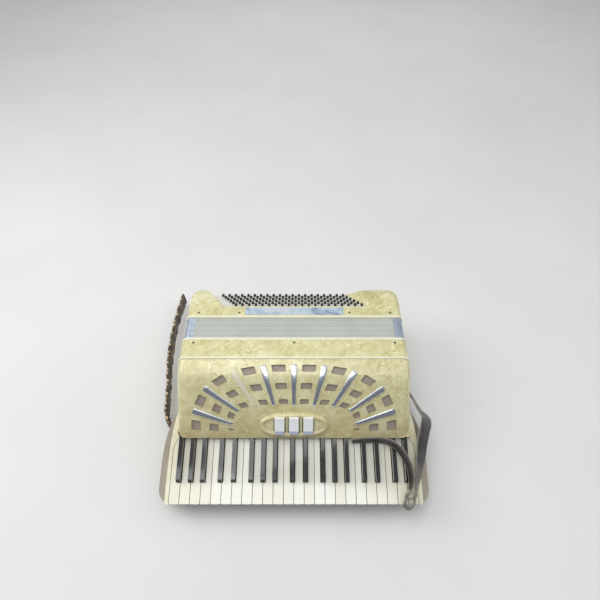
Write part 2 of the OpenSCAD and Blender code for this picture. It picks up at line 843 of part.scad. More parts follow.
plate_w = 205;
plate_h = 19;
plate_y = bass_y0 + 1;

module bass_front_plate() {
    color(chrome) box(-plate_w / 2, plate_y, body_d + 0.05, plate_w / 2, plate_y + plate_h, body_d + 1.2);
}

bass_board_y = bass_y0 + 6;
bass_block_y = treble_block_y1 + 6;
bass_block_z = [45, 82, 119, 152];

module bass_soundboard() {
    color(wood) box(-half_l + wall + gap, bass_board_y, wall + gap,
                    half_l - wall - gap, bass_board_y + soundboard_t, body_d - wall - gap);
}

module bass_reed_blocks() {
    color(wood) for (z = bass_block_z)
        box(-block_l / 2, bass_block_y, z - block_t / 2, block_l / 2, bass_board_y, z + block_t / 2);
}

cover_t = 4;
cover_half = half_l - corner_r - 2;
cover_z0 = 10;
cover_z1 = 124;

module bass_cover() {
    color(pearl) difference() {
        box(-cover_half, bass_y1 - cover_t, cover_z0, cover_half, bass_y1, cover_z1);
        translate([air_x, bass_y1 - 10, air_z]) rotate([-90, 0, 0]) cylinder(r = air_r + 0.4, h = 20);
    }
}

foot_h = 16;

module bass_feet() {
    foot_x = cover_half - 12;
    color(black) for (x = [-foot_x, foot_x], z = [cover_z0 + 12, cover_z1 - 12])
        translate([x, bass_y1, z]) rotate([-90, 0, 0]) cylinder(r1 = 9, r2 = 7.5, h = foot_h);
}

air_x = -150;
air_z = 100;
air_r = 7;

module air_button() {
    color(chrome) translate([air_x, bass_y1, air_z]) rotate([-90, 0, 0]) {
        translate([0, 0, -12]) cylinder(r = air_r, h = 18);
        translate([0, 0, 6]) cylinder(r1 = air_r, r2 = air_r - 1.5, h = 1.5);
    }
}

hand_strap_w = 58;
hand_strap_t = 3;
hand_strap_z = 60;

// The hand strap is bowed out from the cover, with flat ends screwed to it
module bass_strap() {
    span = 150;
    bow = 12;
    steps = 20;
    end = 16;
    outer = concat([[-span - end, 0]], [for (i = [0 : steps]) let (u = -1 + 2 * i / steps)
        [u * span, bow * (1 - u * u) * (1 - u * u / 3)]], [[span + end, 0]]);
    inner = [for (i = [len(outer) - 1 : -1 : 0]) outer[i] + [0, hand_strap_t]];
    color(leather) translate([0, bass_y1 + 0.3, hand_strap_z - hand_strap_w / 2])
        linear_extrude(hand_strap_w) polygon(concat(outer, inner));
}

wheel_r = 13;
wheel_t = 5;
wheel_shaft_r = 3;
wheel_y = bass_y1 - 22;

module strap_wheel() {
    ridges = 24;
    color(chrome) translate([-half_l - 0.6, wheel_y, hand_strap_z]) rotate([0, -90, 0]) {
        difference() {
            cylinder(r = wheel_r, h = wheel_t);
            for (i = [0 : ridges - 1]) rotate([0, 0, i * 360 / ridges])
                translate([wheel_r + 0.4, 0, -eps]) cylinder(r = 1, h = wheel_t + 2 * eps, $fn = 16);
        }
        translate([0, 0, -wall - 2]) cylinder(r = wheel_shaft_r, h = wall + 3);
    }
}

// ---------- straps ----------

// A loop of flat bar screwed to each end of the treble casing
module strap_brackets() {
    color(steel) both_ends() for (y = [-46, -92]) translate([half_l + 0.1, y, 16]) difference() {
        cube([7, 44, 12], center = false);
        translate([1.6, 4, -eps]) cube([3.6, 36, 12 + 2 * eps]);
    }
}

function catmull(p, i, t) = let (
        a = p[max(i - 1, 0)], b = p[i], c = p[i + 1], d = p[min(i + 2, len(p) - 1)])
    0.5 * (2 * b + (c - a) * t + (2 * a - 5 * b + 4 * c - d) * t * t + (3 * b - a - 3 * c + d) * t * t * t);

// Sweeps a flat strap along stations [x, y, z, roll, width]; roll 0 lies flat, 90 stands on edge
module ribbon(stations, t, per_span = 4) {
    n = (len(stations) - 1) * per_span;
    at = [for (k = [0 : n]) catmull(stations, min(floor(k / per_span), len(stations) - 2),
          k == n ? 1 : (k % per_span) / per_span)];
    function place(k) = [at[k][0], at[k][1], at[k][2]];
    corners = [for (k = [0 : n]) let (
            step = place(min(k + 1, n)) - place(max(k - 1, 0)),
            run = step / norm(step),
            side = cross(run, [0, 0, 1]) / norm(cross(run, [0, 0, 1])),
            up = cross(side, run),
            across = side * cos(at[k][3]) + up * sin(at[k][3]),
            off = cross(across, run))
        for (c = [[-1, -1], [1, -1], [1, 1], [-1, 1]])
            place(k) + across * c[0] * at[k][4] / 2 + off * c[1] * t / 2];
    sides = [for (k = [0 : n - 1], e = [0 : 3]) let (f = (e + 1) % 4)
        [4 * k + e, 4 * k + 4 + e, 4 * k + 4 + f, 4 * k + f]];
    polyhedron(corners, concat([[0, 1, 2, 3]], sides, [[4 * n + 3, 4 * n + 2, 4 * n + 1, 4 * n]]),
               convexity = 8);
}

strap_t = 4;

// Chin strap: from its bracket out along the floor, standing on its edge
chin_path = [[-237, -66, 24, 90, 40], [-256, -104, 25, 90, 40], [-275, -88, 25, 90, 40],
             [-286, -16, 25, 88, 40], [-298, 76, 25, 92, 40], [-300, 168, 25, 88, 40],
             [-293, 252, 25, 92, 40]];
// Knee strap: up past the end of the keyboard, round its front corner and back across the keys
knee_path = [[238, -8, 30, 80, 34], [252, -46, 56, 66, 34], [258, -88, 80, 56, 32],
             [266, -116, 91, 42, 32], [258, -142, 97, 44, 32], [249, -167, 94, 42, 32],
             [244, -190, 88, 44, 30], [239, -211, 82, 52, 26], [235, -228, 78, 62, 22],
             [230, -245, 74, 74, 20], [225, -260, 70, 84, 18], [222, -273, 67, 88, 18],
             [213, -281, 66, 90, 18], [205, -274, 67, 88, 18], [210, -261, 73, 84, 18],
             [217, -247, 82, 70, 18], [219, -229, 91, 64, 18], [214, -208, 99, 64, 18],
             [203, -189, 105, 70, 19], [187, -175, 108, 76, 20], [165, -169, 109, 79, 20],
             [138, -169, 109, 81, 20], [112, -170, 108, 78, 17]];

module shoulder_strap_chin() { color(leather) ribbon(chin_path, strap_t); }
module shoulder_strap_knee() { color(leather) ribbon(knee_path, strap_t); }

// ---------- nodes ----------

treble_casing();
treble_soundboard();
treble_reed_blocks();
treble_reed_plates();
treble_grille();
grille_moulding();
grille_slats();
grille_cloth();
register_frame();
register_axle();
register_switch(-1);  // register_switch_1
register_switch(0);  // register_switch_2
register_switch(1);  // register_switch_3
keyboard_bed();
keyboard_cheeks();
keyboard_felt();
key_axle();
key_springs();
key_class(0);  // keys_f
key_class(1);  // keys_f_sharp
key_class(2);  // keys_g
key_class(3);  // keys_g_sharp
key_class(4);  // keys_a
key_class(5);  // keys_a_sharp
key_class(6);  // keys_b
key_class(7);  // keys_c
key_class(8);  // keys_c_sharp
key_class(9);  // keys_d
key_class(10);  // keys_d_sharp
key_class(11);  // keys_e
strap_brackets();
shoulder_strap_chin();
shoulder_strap_knee();
bellows_frame(0);  // treble_bellows_frame
bellows_pins(treble_pin_y, treble_pin_x);  // treble_bellows_pins
bellows_strap_screws();
mirror([1, 0, 0]) bellows_strap();  // bellows_strap_chin
bellows_strap();  // bellows_strap_knee
bellows_folds(1);  // bellows_folds_1
bellows_folds(2);  // bellows_folds_2
bellows_folds(3);  // bellows_folds_3
bellows_folds(4);  // bellows_folds_4
bellows_frame(fold_y1);  // bass_bellows_frame
bellows_pins(bass_pin_y, bass_pin_x);  // bass_bellows_pins
bass_casing();
bass_front_plate();
button_board();
bass_soundboard();
bass_reed_blocks();
button_row(0);  // buttons_counterbass
button_row(1);  // buttons_bass
button_row(2);  // buttons_major
button_row(3);  // buttons_minor
button_row(4);  // buttons_seventh
button_row(5);  // buttons_diminished
bass_cover();
bass_feet();
bass_strap();
strap_wheel();
air_button();
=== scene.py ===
import math
import random

import bmesh
import bpy
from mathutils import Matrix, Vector
from mathutils.geometry import delaunay_2d_cdt


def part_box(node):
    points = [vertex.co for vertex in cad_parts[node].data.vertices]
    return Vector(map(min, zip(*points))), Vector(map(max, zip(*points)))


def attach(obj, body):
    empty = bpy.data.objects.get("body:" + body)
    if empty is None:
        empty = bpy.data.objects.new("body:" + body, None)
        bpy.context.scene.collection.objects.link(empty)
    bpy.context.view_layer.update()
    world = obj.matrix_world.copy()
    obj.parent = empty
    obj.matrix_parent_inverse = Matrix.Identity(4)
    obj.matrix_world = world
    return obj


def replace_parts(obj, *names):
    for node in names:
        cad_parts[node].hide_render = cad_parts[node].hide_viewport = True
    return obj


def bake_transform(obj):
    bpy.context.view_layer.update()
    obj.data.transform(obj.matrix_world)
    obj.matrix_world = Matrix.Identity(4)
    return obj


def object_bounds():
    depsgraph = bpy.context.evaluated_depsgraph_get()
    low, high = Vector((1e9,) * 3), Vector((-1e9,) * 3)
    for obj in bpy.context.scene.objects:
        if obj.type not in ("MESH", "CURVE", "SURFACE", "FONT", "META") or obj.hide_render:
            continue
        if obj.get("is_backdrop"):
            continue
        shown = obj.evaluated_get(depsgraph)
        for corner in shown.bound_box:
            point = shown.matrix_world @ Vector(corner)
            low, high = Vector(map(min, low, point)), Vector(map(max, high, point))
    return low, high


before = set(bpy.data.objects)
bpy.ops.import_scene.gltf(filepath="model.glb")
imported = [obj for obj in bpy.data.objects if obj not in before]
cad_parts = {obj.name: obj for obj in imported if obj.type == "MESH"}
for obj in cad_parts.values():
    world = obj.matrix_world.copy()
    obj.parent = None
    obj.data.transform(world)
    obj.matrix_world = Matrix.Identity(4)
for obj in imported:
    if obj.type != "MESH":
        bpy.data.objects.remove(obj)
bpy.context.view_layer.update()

scene = bpy.context.scene
MM = 0.001

# ---------- driving sizes, read from the frame ----------

band_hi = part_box("treble_casing")[1]
bass_lo, bass_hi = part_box("bass_casing")
HALF = band_hi.x
DEPTH = band_hi.z
EDGE_R = 14 * MM
FOLDS = 16
GAP = 0.3 * MM
KEY_PITCH = 19.6 * MM
KEY_TILT = math.radians(17)
band_y = band_hi.y - 40 * MM


# ---------- mesh helpers ----------

def mesh_piece(name, verts, faces, mat, body):
    mesh = bpy.data.meshes.new(name)
    mesh.from_pydata([tuple(v) for v in verts], [], faces)
    mesh.update()
    obj = bpy.data.objects.new(name, mesh)
    scene.collection.objects.link(obj)
    for poly in mesh.polygons:
        poly.use_smooth = True
    mesh.materials.append(mat)
    if body:
        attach(obj, body)
    return obj


def settle(obj, angle=35):
    """Applies the modifiers and keeps edges sharper than the angle."""
    deps = bpy.context.evaluated_depsgraph_get()
    mesh = bpy.data.meshes.new_from_object(obj.evaluated_get(deps))
    obj.modifiers.clear()
    obj.data = mesh
    for poly in mesh.polygons:
        poly.use_smooth = True
    mesh.set_sharp_from_angle(angle=math.radians(angle))
    return obj


def thicken(obj, thickness, offset=-1):
    mod = obj.modifiers.new("thickness", "SOLIDIFY")
    mod.thickness = thickness
    mod.offset = offset
    mod.use_quality_normals = True
    return obj


def recalc(obj):
    """Turns every face outwards."""
    bm = bmesh.new()
    bm.from_mesh(obj.data)
    bmesh.ops.recalc_face_normals(bm, faces=bm.faces)
    bm.to_mesh(obj.data)
    bm.free()
    return obj


def grid_faces(rows, cols, close_rows=False, close_cols=False):
    faces = []
    for i in range(rows if close_rows else rows - 1):
        for j in range(cols if close_cols else cols - 1):
            a, b = i * cols + j, i * cols + (j + 1) % cols
            c = ((i + 1) % rows) * cols
            faces.append((a, b, c + (j + 1) % cols, c + j))
    return faces


def flat_list(rings):
    return [p for ring in rings for p in ring]


def loft(name, rings, mat, body):
    """A closed skin through equal rings of points."""
    n = len(rings[0])
    faces = grid_faces(len(rings), n, close_cols=True)
    faces.append(tuple(reversed(range(n))))
    faces.append(tuple(range((len(rings) - 1) * n, len(rings) * n)))
    return recalc(mesh_piece(name, flat_list(rings), faces, mat, body))


def join_parts(name, parts, mat, body):
    """One mesh from several (verts, faces) parts."""
    verts, faces = [], []
    for v, f in parts:
        base = len(verts)
        verts += v
        faces += [tuple(i + base for i in face) for face in f]
    return recalc(mesh_piece(name, verts, faces, mat, body))


def stand_in(obj, node, sharp=None):
    """Hides the CAD node that the piece stands for; edges over sharp degrees stay sharp."""
    if sharp:
        obj.data.set_sharp_from_angle(angle=math.radians(sharp))
    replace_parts(obj, node)


def lathe(profile, centre, axis, segs=24):
    """(verts, faces) of a turned solid: profile is (radius, height along the axis)."""
    axis = Vector(axis).normalized()
    side = axis.orthogonal().normalized()
    other = axis.cross(side)
    verts = []
    for r, h in profile:
        for k in range(segs):
            a = 2 * math.pi * k / segs
            verts.append(Vector(centre) + axis * h + (side * math.cos(a) + other * math.sin(a)) * r)
    faces = grid_faces(len(profile), segs, close_cols=True)
    faces.append(tuple(range(segs)))
    faces.append(tuple(range((len(profile) - 1) * segs, len(profile) * segs)))
    return verts, faces


def round_rect_points(x0, z0, x1, z1, r, steps=6, straight=1):
    """Points of a rounded rectangle, anticlockwise from its lower right corner.

    Every side between two corners is cut into as many parts as straight says.
    """
    corners = [(x1 - r, z0 + r, -90), (x1 - r, z1 - r, 0), (x0 + r, z1 - r, 90), (x0 + r, z0 + r, 180)]
    pts = []
    for k, (cx, cz, a0) in enumerate(corners):
        for i in range(steps + 1):
            a = math.radians(a0 + 90 * i / steps)
            pts.append((cx + r * math.cos(a), cz + r * math.sin(a)))
        nx, nz, na = corners[(k + 1) % 4]
        b = math.radians(na)
        end = (nx + r * math.cos(b), nz + r * math.sin(b))
        last = pts[-1]
        for i in range(1, straight):
            t = i / straight
            pts.append((last[0] + (end[0] - last[0]) * t, last[1] + (end[1] - last[1]) * t))
    return pts


def power(v, e):
    """v to the power e, keeping its sign."""
    return math.copysign(abs(v) ** e, v)


def mirrored(half):
    """A whole profile from its left half, which ends on the middle line."""
    return half + [(-u, v) for u, v in reversed(half[:-1])]


def mix(a, b, t):
    return a + (b - a) * t


def smoothstep(a, b, v):
    t = min(max((v - a) / (b - a), 0), 1)
    return t * t * (3 - 2 * t)


def smin(a, b, k):
    h = max(k - abs(a - b), 0) / k
    return min(a, b) - h * h * k / 4


# ---------- materials ----------

class Nodes:
    """Builds the node tree of a material or world step by step."""

    def __init__(self, owner):
        owner.use_nodes = True
        self.tree = owner.node_tree

    def add(self, kind, **props):
        node = self.tree.nodes.new(kind)
        for key, value in props.items():
            setattr(node, key, value)
        return node

    def link(self, a, b):
        self.tree.links.new(a, b)

    def feed(self, socket, value):
        """Links another node's output to the socket, or sets the socket's own value or colour."""
        if hasattr(value, "is_output"):
            self.link(value, socket)
        else:
            socket.default_value = (*value, 1) if socket.type == "RGBA" else value

    def put(self, node, **values):
        for key, value in values.items():
            self.feed(node.inputs[key.replace("_", " ")], value)
        return node

    def ramp(self, fac, *stops):
        node = self.add("ShaderNodeValToRGB")
        self.link(fac, node.inputs["Fac"])
        ramp = node.color_ramp
        while len(ramp.elements) < len(stops):
            ramp.elements.new(0.5)
        for element, (pos, colour) in zip(ramp.elements, stops):
            element.position = pos
            if isinstance(colour, (int, float)):
                colour = (colour, colour, colour)
            element.color = (*colour, 1)
        return node.outputs["Color"]

    def math(self, op, a, b=0.0):
        node = self.add("ShaderNodeMath", operation=op)
        for socket, value in zip(node.inputs, (a, b)):
            self.feed(socket, value)
        return node.outputs[0]


class Mat(Nodes):
    """A material on one principled shader, textured in the object's own space."""

    def __init__(self, name, coat=0.0, coat_rough=0.05):
        self.mat = bpy.data.materials.new(name)
        super().__init__(self.mat)
        self.bsdf = self.tree.nodes["Principled BSDF"]
        self.set(Coat_Weight=coat, Coat_Roughness=coat_rough)
        self.coord = self.add("ShaderNodeTexCoord").outputs["Object"]
        self.heights = []

    def mapped(self, scale=(1, 1, 1), turn=(0, 0, 0), vector=None):
        node = self.add("ShaderNodeMapping", vector_type="TEXTURE")
        turn = [math.radians(t) for t in turn]
        self.put(node, Vector=vector or self.coord, Scale=[1 / v for v in scale], Rotation=turn)
        return node.outputs["Vector"]

    def noise(self, scale, detail=4, rough=0.5, warp=0.0, vector=None):
        node = self.add("ShaderNodeTexNoise")
        self.put(node, Vector=vector or self.coord, Scale=scale, Detail=detail, Roughness=rough,
                 Distortion=warp)
        return node.outputs["Fac"]

    def wave(self, scale, vector=None, warp=0.0, direction="X"):
        node = self.add("ShaderNodeTexWave", bands_direction=direction)
        self.put(node, Vector=vector or self.coord, Scale=scale, Distortion=warp)
        return node.outputs["Fac"]

    def voronoi(self, scale, vector=None):
        node = self.add("ShaderNodeTexVoronoi")
        return self.put(node, Vector=vector or self.coord, Scale=scale).outputs

    def blend(self, fac, a, b):
        """Colour a turning into b; a mix node's colour sockets are its inputs 6 and 7."""
        node = self.add("ShaderNodeMix", data_type="RGBA")
        for index, value in ((0, fac), (6, a), (7, b)):
            self.feed(node.inputs[index], value)
        return node.outputs[2]

    def over(self, base, colour, fac, start, stop, most):
        """Lays the colour over the base: none where fac is at start, a share of most from stop on."""
        return self.blend(self.ramp(fac, (start, 0.0), (stop, most)), base, colour)

    def axis(self, which):
        node = self.add("ShaderNodeSeparateXYZ")
        self.link(self.coord, node.inputs[0])
        return node.outputs[which]

    def colour(self, value):
        self.feed(self.bsdf.inputs["Base Color"], value)

    def rough(self, fac, low, high):
        value = self.math("ADD", self.math("MULTIPLY", fac, high - low), low)
        self.link(value, self.bsdf.inputs["Roughness"])

    def bump(self, height, depth, strength=1.0):
        node = self.add("ShaderNodeBump")
        self.put(node, Height=height, Distance=depth, Strength=strength)
        if self.heights:
            self.link(self.heights[-1], node.inputs["Normal"])
        self.heights.append(node.outputs["Normal"])
        self.link(node.outputs["Normal"], self.bsdf.inputs["Normal"])

    def set(self, **values):
        self.put(self.bsdf, **values)


def pearl_material(name, deep, mid, pale, brown=(0.36, 0.26, 0.10), foot_brown=0.0):
    """Mother-of-pearl celluloid: overlapping shards of light in a warm ground, browner where handled."""
    m = Mat(name, coat=0.45, coat_rough=0.07)
    bend = m.add("ShaderNodeTexNoise")
    m.put(bend, Vector=m.coord, Scale=17.0, Detail=3.0)
    push = m.add("ShaderNodeVectorMath", operation="MULTIPLY_ADD")
    m.link(bend.outputs["Color"], push.inputs[0])
    push.inputs[1].default_value = (0.055, 0.055, 0.055)
    m.link(m.coord, push.inputs[2])
    warped = push.outputs[0]

    def shards(scale, stretch, turn):
        cell = m.voronoi(scale, m.mapped(stretch, turn, warped))
        tone = m.add("ShaderNodeSeparateColor")
        m.link(cell["Color"], tone.inputs[0])
        return tone.outputs[0], cell["Distance"]

    big, _ = shards(30, (1.0, 2.3, 1.8), (15, 30, 32))
    small, edge = shards(62, (2.3, 1.0, 1.4), (-20, 15, -25))
    cloud = m.noise(10, 4, 0.55, 1.2)
    tone = m.math("ADD", m.math("MULTIPLY", big, 0.24), m.math("MULTIPLY", small, 0.22))
    tone = m.math("ADD", tone, m.math("MULTIPLY", cloud, 0.54))
    base = m.ramp(tone, (0.28, deep), (0.50, mid), (0.76, pale))
    bright = tuple(min(v * 1.20, 0.97) for v in pale)
    for turn, scale in ((-35, 30), (25, 36), (70, 42)):
        vein = m.noise(scale, 2, 0.45, 1.6, m.mapped((0.35, 2.6, 2.6), (0, turn * 0.6, turn)))
        line = m.ramp(vein, (0.575, 0.0), (0.600, 0.75), (0.612, 0.75), (0.64, 0.0))
        patch = m.ramp(m.noise(17 + turn * 0.1, 2), (0.44, 0.0), (0.58, 1.0))
        base = m.blend(m.math("MULTIPLY", line, patch), base, bright)
    base = m.over(base, brown, m.noise(8, 4, 0.6), 0.60, 0.88, 0.30)
    # browner towards the foot, in patches
    if foot_brown:
        low = m.ramp(m.axis("Z"), (0.105, foot_brown), (0.165, 0.0))
        patch = m.ramp(m.noise(14, 3), (0.3, 0.3), (0.7, 1.0))
        base = m.blend(m.math("MULTIPLY", low, patch), base, brown)
    m.colour(base)
    m.rough(m.math("MULTIPLY", m.math("ADD", small, m.noise(60, 3)), 0.5), 0.22, 0.46)
    m.set(Metallic=m.math("MULTIPLY", small, 0.12))
    m.bump(m.noise(24, 3), 0.0005, 0.5)
    m.bump(edge, 0.00006, 0.3)
    return m.mat


pearl = pearl_material("pearloid", (0.60, 0.545, 0.25), (0.70, 0.655, 0.335), (0.82, 0.785, 0.49))
pearl_grille = pearl_material("grille_pearloid", (0.62, 0.55, 0.27), (0.73, 0.67, 0.365), (0.86, 0.81, 0.52),
                              foot_brown=0.6)
pearl_field = pearl_material("field_pearloid", (0.58, 0.53, 0.28), (0.69, 0.65, 0.38), (0.82, 0.78, 0.52))


def shaded_side_pearl():
    """The keyboard's sides: the pearl celluloid darkened to taupe as painted shade of its steep outward
    slope, with paler grey patches painted on as sheen.
    """
    m = Mat("shaded_side_pearl", coat=0.4, coat_rough=0.12)
    cloud = m.noise(14, 4, 0.55, 1.0, m.mapped((1, 0.35, 1)))
    # taupe tones darker than the pearloid: painted shade of the steep side
    base = m.ramp(cloud, (0.32, (0.27, 0.23, 0.17)), (0.52, (0.38, 0.34, 0.26)), (0.74, (0.50, 0.47, 0.39)))
    # paler grey patches laid over it: painted sheen
    scuff = m.noise(60, 4, 0.7, 0.6, m.mapped((1, 0.2, 1)))
    m.colour(m.over(base, (0.60, 0.57, 0.48), scuff, 0.62, 0.80, 0.45))
    m.rough(cloud, 0.22, 0.48)
    m.bump(m.noise(180, 3), 0.00012, 0.5)
    return m.mat


shaded_side_band = shaded_side_pearl()


def celluloid(name, base, dark):
    m = Mat(name, coat=0.6, coat_rough=0.08)
    grain = m.wave(26, m.mapped(), 6, "Z")
    tone = m.noise(38, 4, 0.6, 1.5)
    col = m.over(base, dark, tone, 0.35, 0.75, 0.5)
    m.colour(m.blend(m.math("MULTIPLY", grain, 0.10), col, dark))
    m.rough(tone, 0.18, 0.34)
    m.bump(m.noise(120, 3), 0.00015, 0.5)
    return m.mat


cream = celluloid("cream_celluloid", (0.93, 0.91, 0.72), (0.78, 0.72, 0.48))
ivory_trim = celluloid("keyboard_cheek", (0.88, 0.85, 0.62), (0.70, 0.62, 0.38))
board_white = celluloid("button_board_white", (0.86, 0.87, 0.79), (0.70, 0.70, 0.60))


def white_keys():
    m = Mat("white_keys", coat=0.6, coat_rough=0.06)
    index = m.math("FLOOR", m.math("DIVIDE", m.axis("X"), KEY_PITCH))
    rand = m.add("ShaderNodeTexWhiteNoise", noise_dimensions="1D")
    m.link(index, rand.inputs["W"])
    tone = m.ramp(rand.outputs["Value"], (0.0, (0.86, 0.84, 0.70)), (1.0, (0.94, 0.94, 0.86)))
    # yellower towards both ends of the keyboard, stained in patches; the keys' flanks painted dark as the
    # shade of the gaps between keys
    side = m.math("ABSOLUTE", m.axis("X"))
    col = m.over(tone, (0.87, 0.82, 0.58), m.math("DIVIDE", side, HALF), 0.40, 1.0, 0.55)
    col = m.over(col, (0.80, 0.71, 0.46), m.noise(24, 4, 0.6, 1.0), 0.58, 0.88, 0.35)
    # painted shade: faces turned sideways, the keys' flanks, go dark
    shaded_flank = m.add("ShaderNodeSeparateXYZ")
    m.link(m.add("ShaderNodeNewGeometry").outputs["Normal"], shaded_flank.inputs[0])
    m.colour(m.over(col, (0.14, 0.115, 0.08), m.math("ABSOLUTE", shaded_flank.outputs["X"]), 0.45, 0.85, 0.85))
    m.rough(m.noise(70, 3), 0.14, 0.30)
    m.bump(m.wave(160, m.mapped((1, 0.05, 0.05)), 3, "X"), 0.00003, 0.4)
    m.bump(m.noise(60, 2), 0.0001, 0.3)
    return m.mat


def black_gloss(name, base=(0.012, 0.012, 0.014), low=0.10, high=0.26):
    m = Mat(name, coat=0.5, coat_rough=0.04)
    m.colour(m.over(base, (0.25, 0.23, 0.20), m.noise(180, 4, 0.7), 0.62, 0.88, 0.06))
    m.rough(m.noise(90, 3), low, high)
    m.bump(m.wave(190, m.mapped((1, 0.08, 0.08)), 4, "X"), 0.00003, 0.3)
    return m.mat


def metal(name, base, dark, low, high, brush=(1, 12, 12), bump=0.00002):
    m = Mat(name)
    lines = m.noise(220, 4, 0.7, 0.0, m.mapped(brush))
    haze = m.noise(36, 4, 0.6, 0.8)
    m.colour(m.over(base, dark, haze, 0.45, 0.8, 0.6))
    m.set(Metallic=1.0)
    m.rough(m.math("MULTIPLY", m.math("ADD", lines, haze), 0.5), low, high)
    m.bump(lines, bump, 0.5)
    return m.mat


def plate_chrome():
    """Old chrome plate: blue-white with lilac clouds and fine scratches along it."""
    m = Mat("plate_chrome")
    cloud = m.noise(26, 4, 0.6, 1.4, m.mapped((0.7, 1, 2.2), (0, 8, 0)))
    tint = m.ramp(cloud, (0.34, (0.36, 0.44, 0.62)), (0.46, (0.56, 0.70, 0.84)), (0.58, (0.72, 0.84, 0.92)),
                  (0.70, (0.80, 0.78, 0.88)))
    scratch = m.noise(260, 3, 0.7, 0.0, m.mapped((0.06, 1, 1)))
    m.colour(m.over(tint, (0.30, 0.34, 0.42), scratch, 0.58, 0.76, 0.5))
    m.set(Metallic=0.9)
    m.rough(cloud, 0.18, 0.50)
    m.bump(cloud, 0.0006, 0.5)
    m.bump(scratch, 0.00003, 0.5)
    return m.mat


def tape():
    """Bellows tape: fine diagonal lines on a silver-green ground."""
    m = Mat("bellows_tape")
    sheen = m.wave(210, m.mapped(), 0, "DIAGONAL")
    x, y, z = [m.axis(way) for way in "XYZ"]
    run = m.math("ADD", x, z)
    cell = m.math("PINGPONG", m.math("MULTIPLY", run, 640), 1.0)
    zig = m.math("ADD", m.math("MULTIPLY", cell, 0.9), m.math("MULTIPLY", y, 900))
    line = m.math("PINGPONG", zig, 1.0)
    pattern = m.ramp(line, (0.30, (0.36, 0.40, 0.36)), (0.52, (0.62, 0.66, 0.60)), (0.75, (0.70, 0.73, 0.66)))
    tone = m.ramp(m.noise(12, 3, 0.5), (0.35, (0.58, 0.62, 0.57)), (0.7, (0.74, 0.76, 0.70)))
    col = m.blend(0.45, pattern, tone)
    m.colour(m.over(col, (0.85, 0.86, 0.80), sheen, 0.4, 0.6, 0.05))
    m.set(Metallic=0.25)
    m.rough(line, 0.42, 0.62)
    m.bump(line, 0.00006, 0.6)
    m.bump(m.noise(900, 2), 0.00003, 0.5)
    return m.mat


def mesh_cloth():
    m = Mat("grille_mesh")
    weave = m.math("MULTIPLY", *[m.wave(330, m.mapped(), 0, way) for way in "XY"])
    col = m.ramp(weave, (0.1, (0.26, 0.21, 0.17)), (0.45, (0.56, 0.49, 0.42)), (0.9, (0.82, 0.76, 0.68)))
    m.colour(m.over(col, (0.46, 0.38, 0.32), m.noise(18, 3), 0.4, 0.8, 0.35))
    m.rough(weave, 0.5, 0.8)
    m.bump(weave, 0.0002, 0.8)
    return m.mat


def leather(name, base, worn, edge=0.5, rim=0.0, polish=0.15):
    """Grained leather, paler where the attribute rim is 1: from wear along a strap's edges, and as a painted
    highlight on its high spots.
    """
    m = Mat(name, coat=polish, coat_rough=0.22)
    grain = m.voronoi(900)["Distance"]
    scuff = m.noise(48, 6, 0.7, 0.15)
    col = m.over(base, worn, scuff, 0.50 - 0.1 * edge, 0.72, edge)
    if rim:
        high = m.add("ShaderNodeAttribute", attribute_name="rim").outputs["Fac"]
        # paler rim: wear along the edges; where it follows the lumps it is a painted highlight
        rubbed_and_glint = m.math("ADD", high, m.math("MULTIPLY", m.math("SUBTRACT", scuff, 0.5), 0.5))
        col = m.over(col, worn, rubbed_and_glint, 0.62, 0.98, rim)
    m.colour(col)
    m.rough(m.noise(160, 3), 0.34, 0.68)
    m.bump(grain, 0.00025, 0.6)
    m.bump(m.noise(140, 4, 0.6), 0.0004, 0.5)
    return m.mat


def wood(name, base, dark):
    m = Mat(name)
    ring = m.wave(34, m.mapped((0.15, 1, 1)), 5, "Y")
    fine = m.noise(300, 3, 0.6, 0, m.mapped((0.06, 1, 1)))
    m.colour(m.blend(m.math("MULTIPLY", ring, 0.6), base, dark))
    m.rough(fine, 0.5, 0.75)
    m.bump(fine, 0.0001, 0.5)
    return m.mat


def felt(name, base, pale):
    m = Mat(name)
    fuzz = m.noise(900, 5, 0.75)
    m.colour(m.blend(fuzz, base, pale))
    m.rough(fuzz, 0.85, 1.0)
    m.bump(fuzz, 0.0004, 0.8)
    m.set(Sheen_Weight=0.4)
    return m.mat


def rubber():
    m = Mat("foot_rubber")
    fine = m.noise(420, 4, 0.7)
    m.colour(m.blend(fine, (0.018, 0.018, 0.018), (0.05, 0.048, 0.045)))
    m.rough(fine, 0.55, 0.85)
    m.bump(fine, 0.00015, 0.6)
    return m.mat


def switch_white():
    """White switch caps, greyer towards the lower edge."""
    m = Mat("switch_white", coat=0.5, coat_rough=0.05)
    lo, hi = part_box("register_switch_2")
    drop = m.math("DIVIDE", m.math("SUBTRACT", m.axis("Z"), lo.z), hi.z - lo.z)
    tone = m.ramp(drop, (0.34, (0.46, 0.48, 0.58)), (0.40, (0.90, 0.92, 0.95)), (1.0, (0.94, 0.95, 0.95)))
    m.colour(m.over(tone, (0.66, 0.64, 0.58), m.noise(120, 4), 0.58, 0.85, 0.15))
    m.rough(m.noise(80, 3), 0.16, 0.32)
    m.bump(m.noise(200, 2), 0.00008, 0.4)
    return m.mat


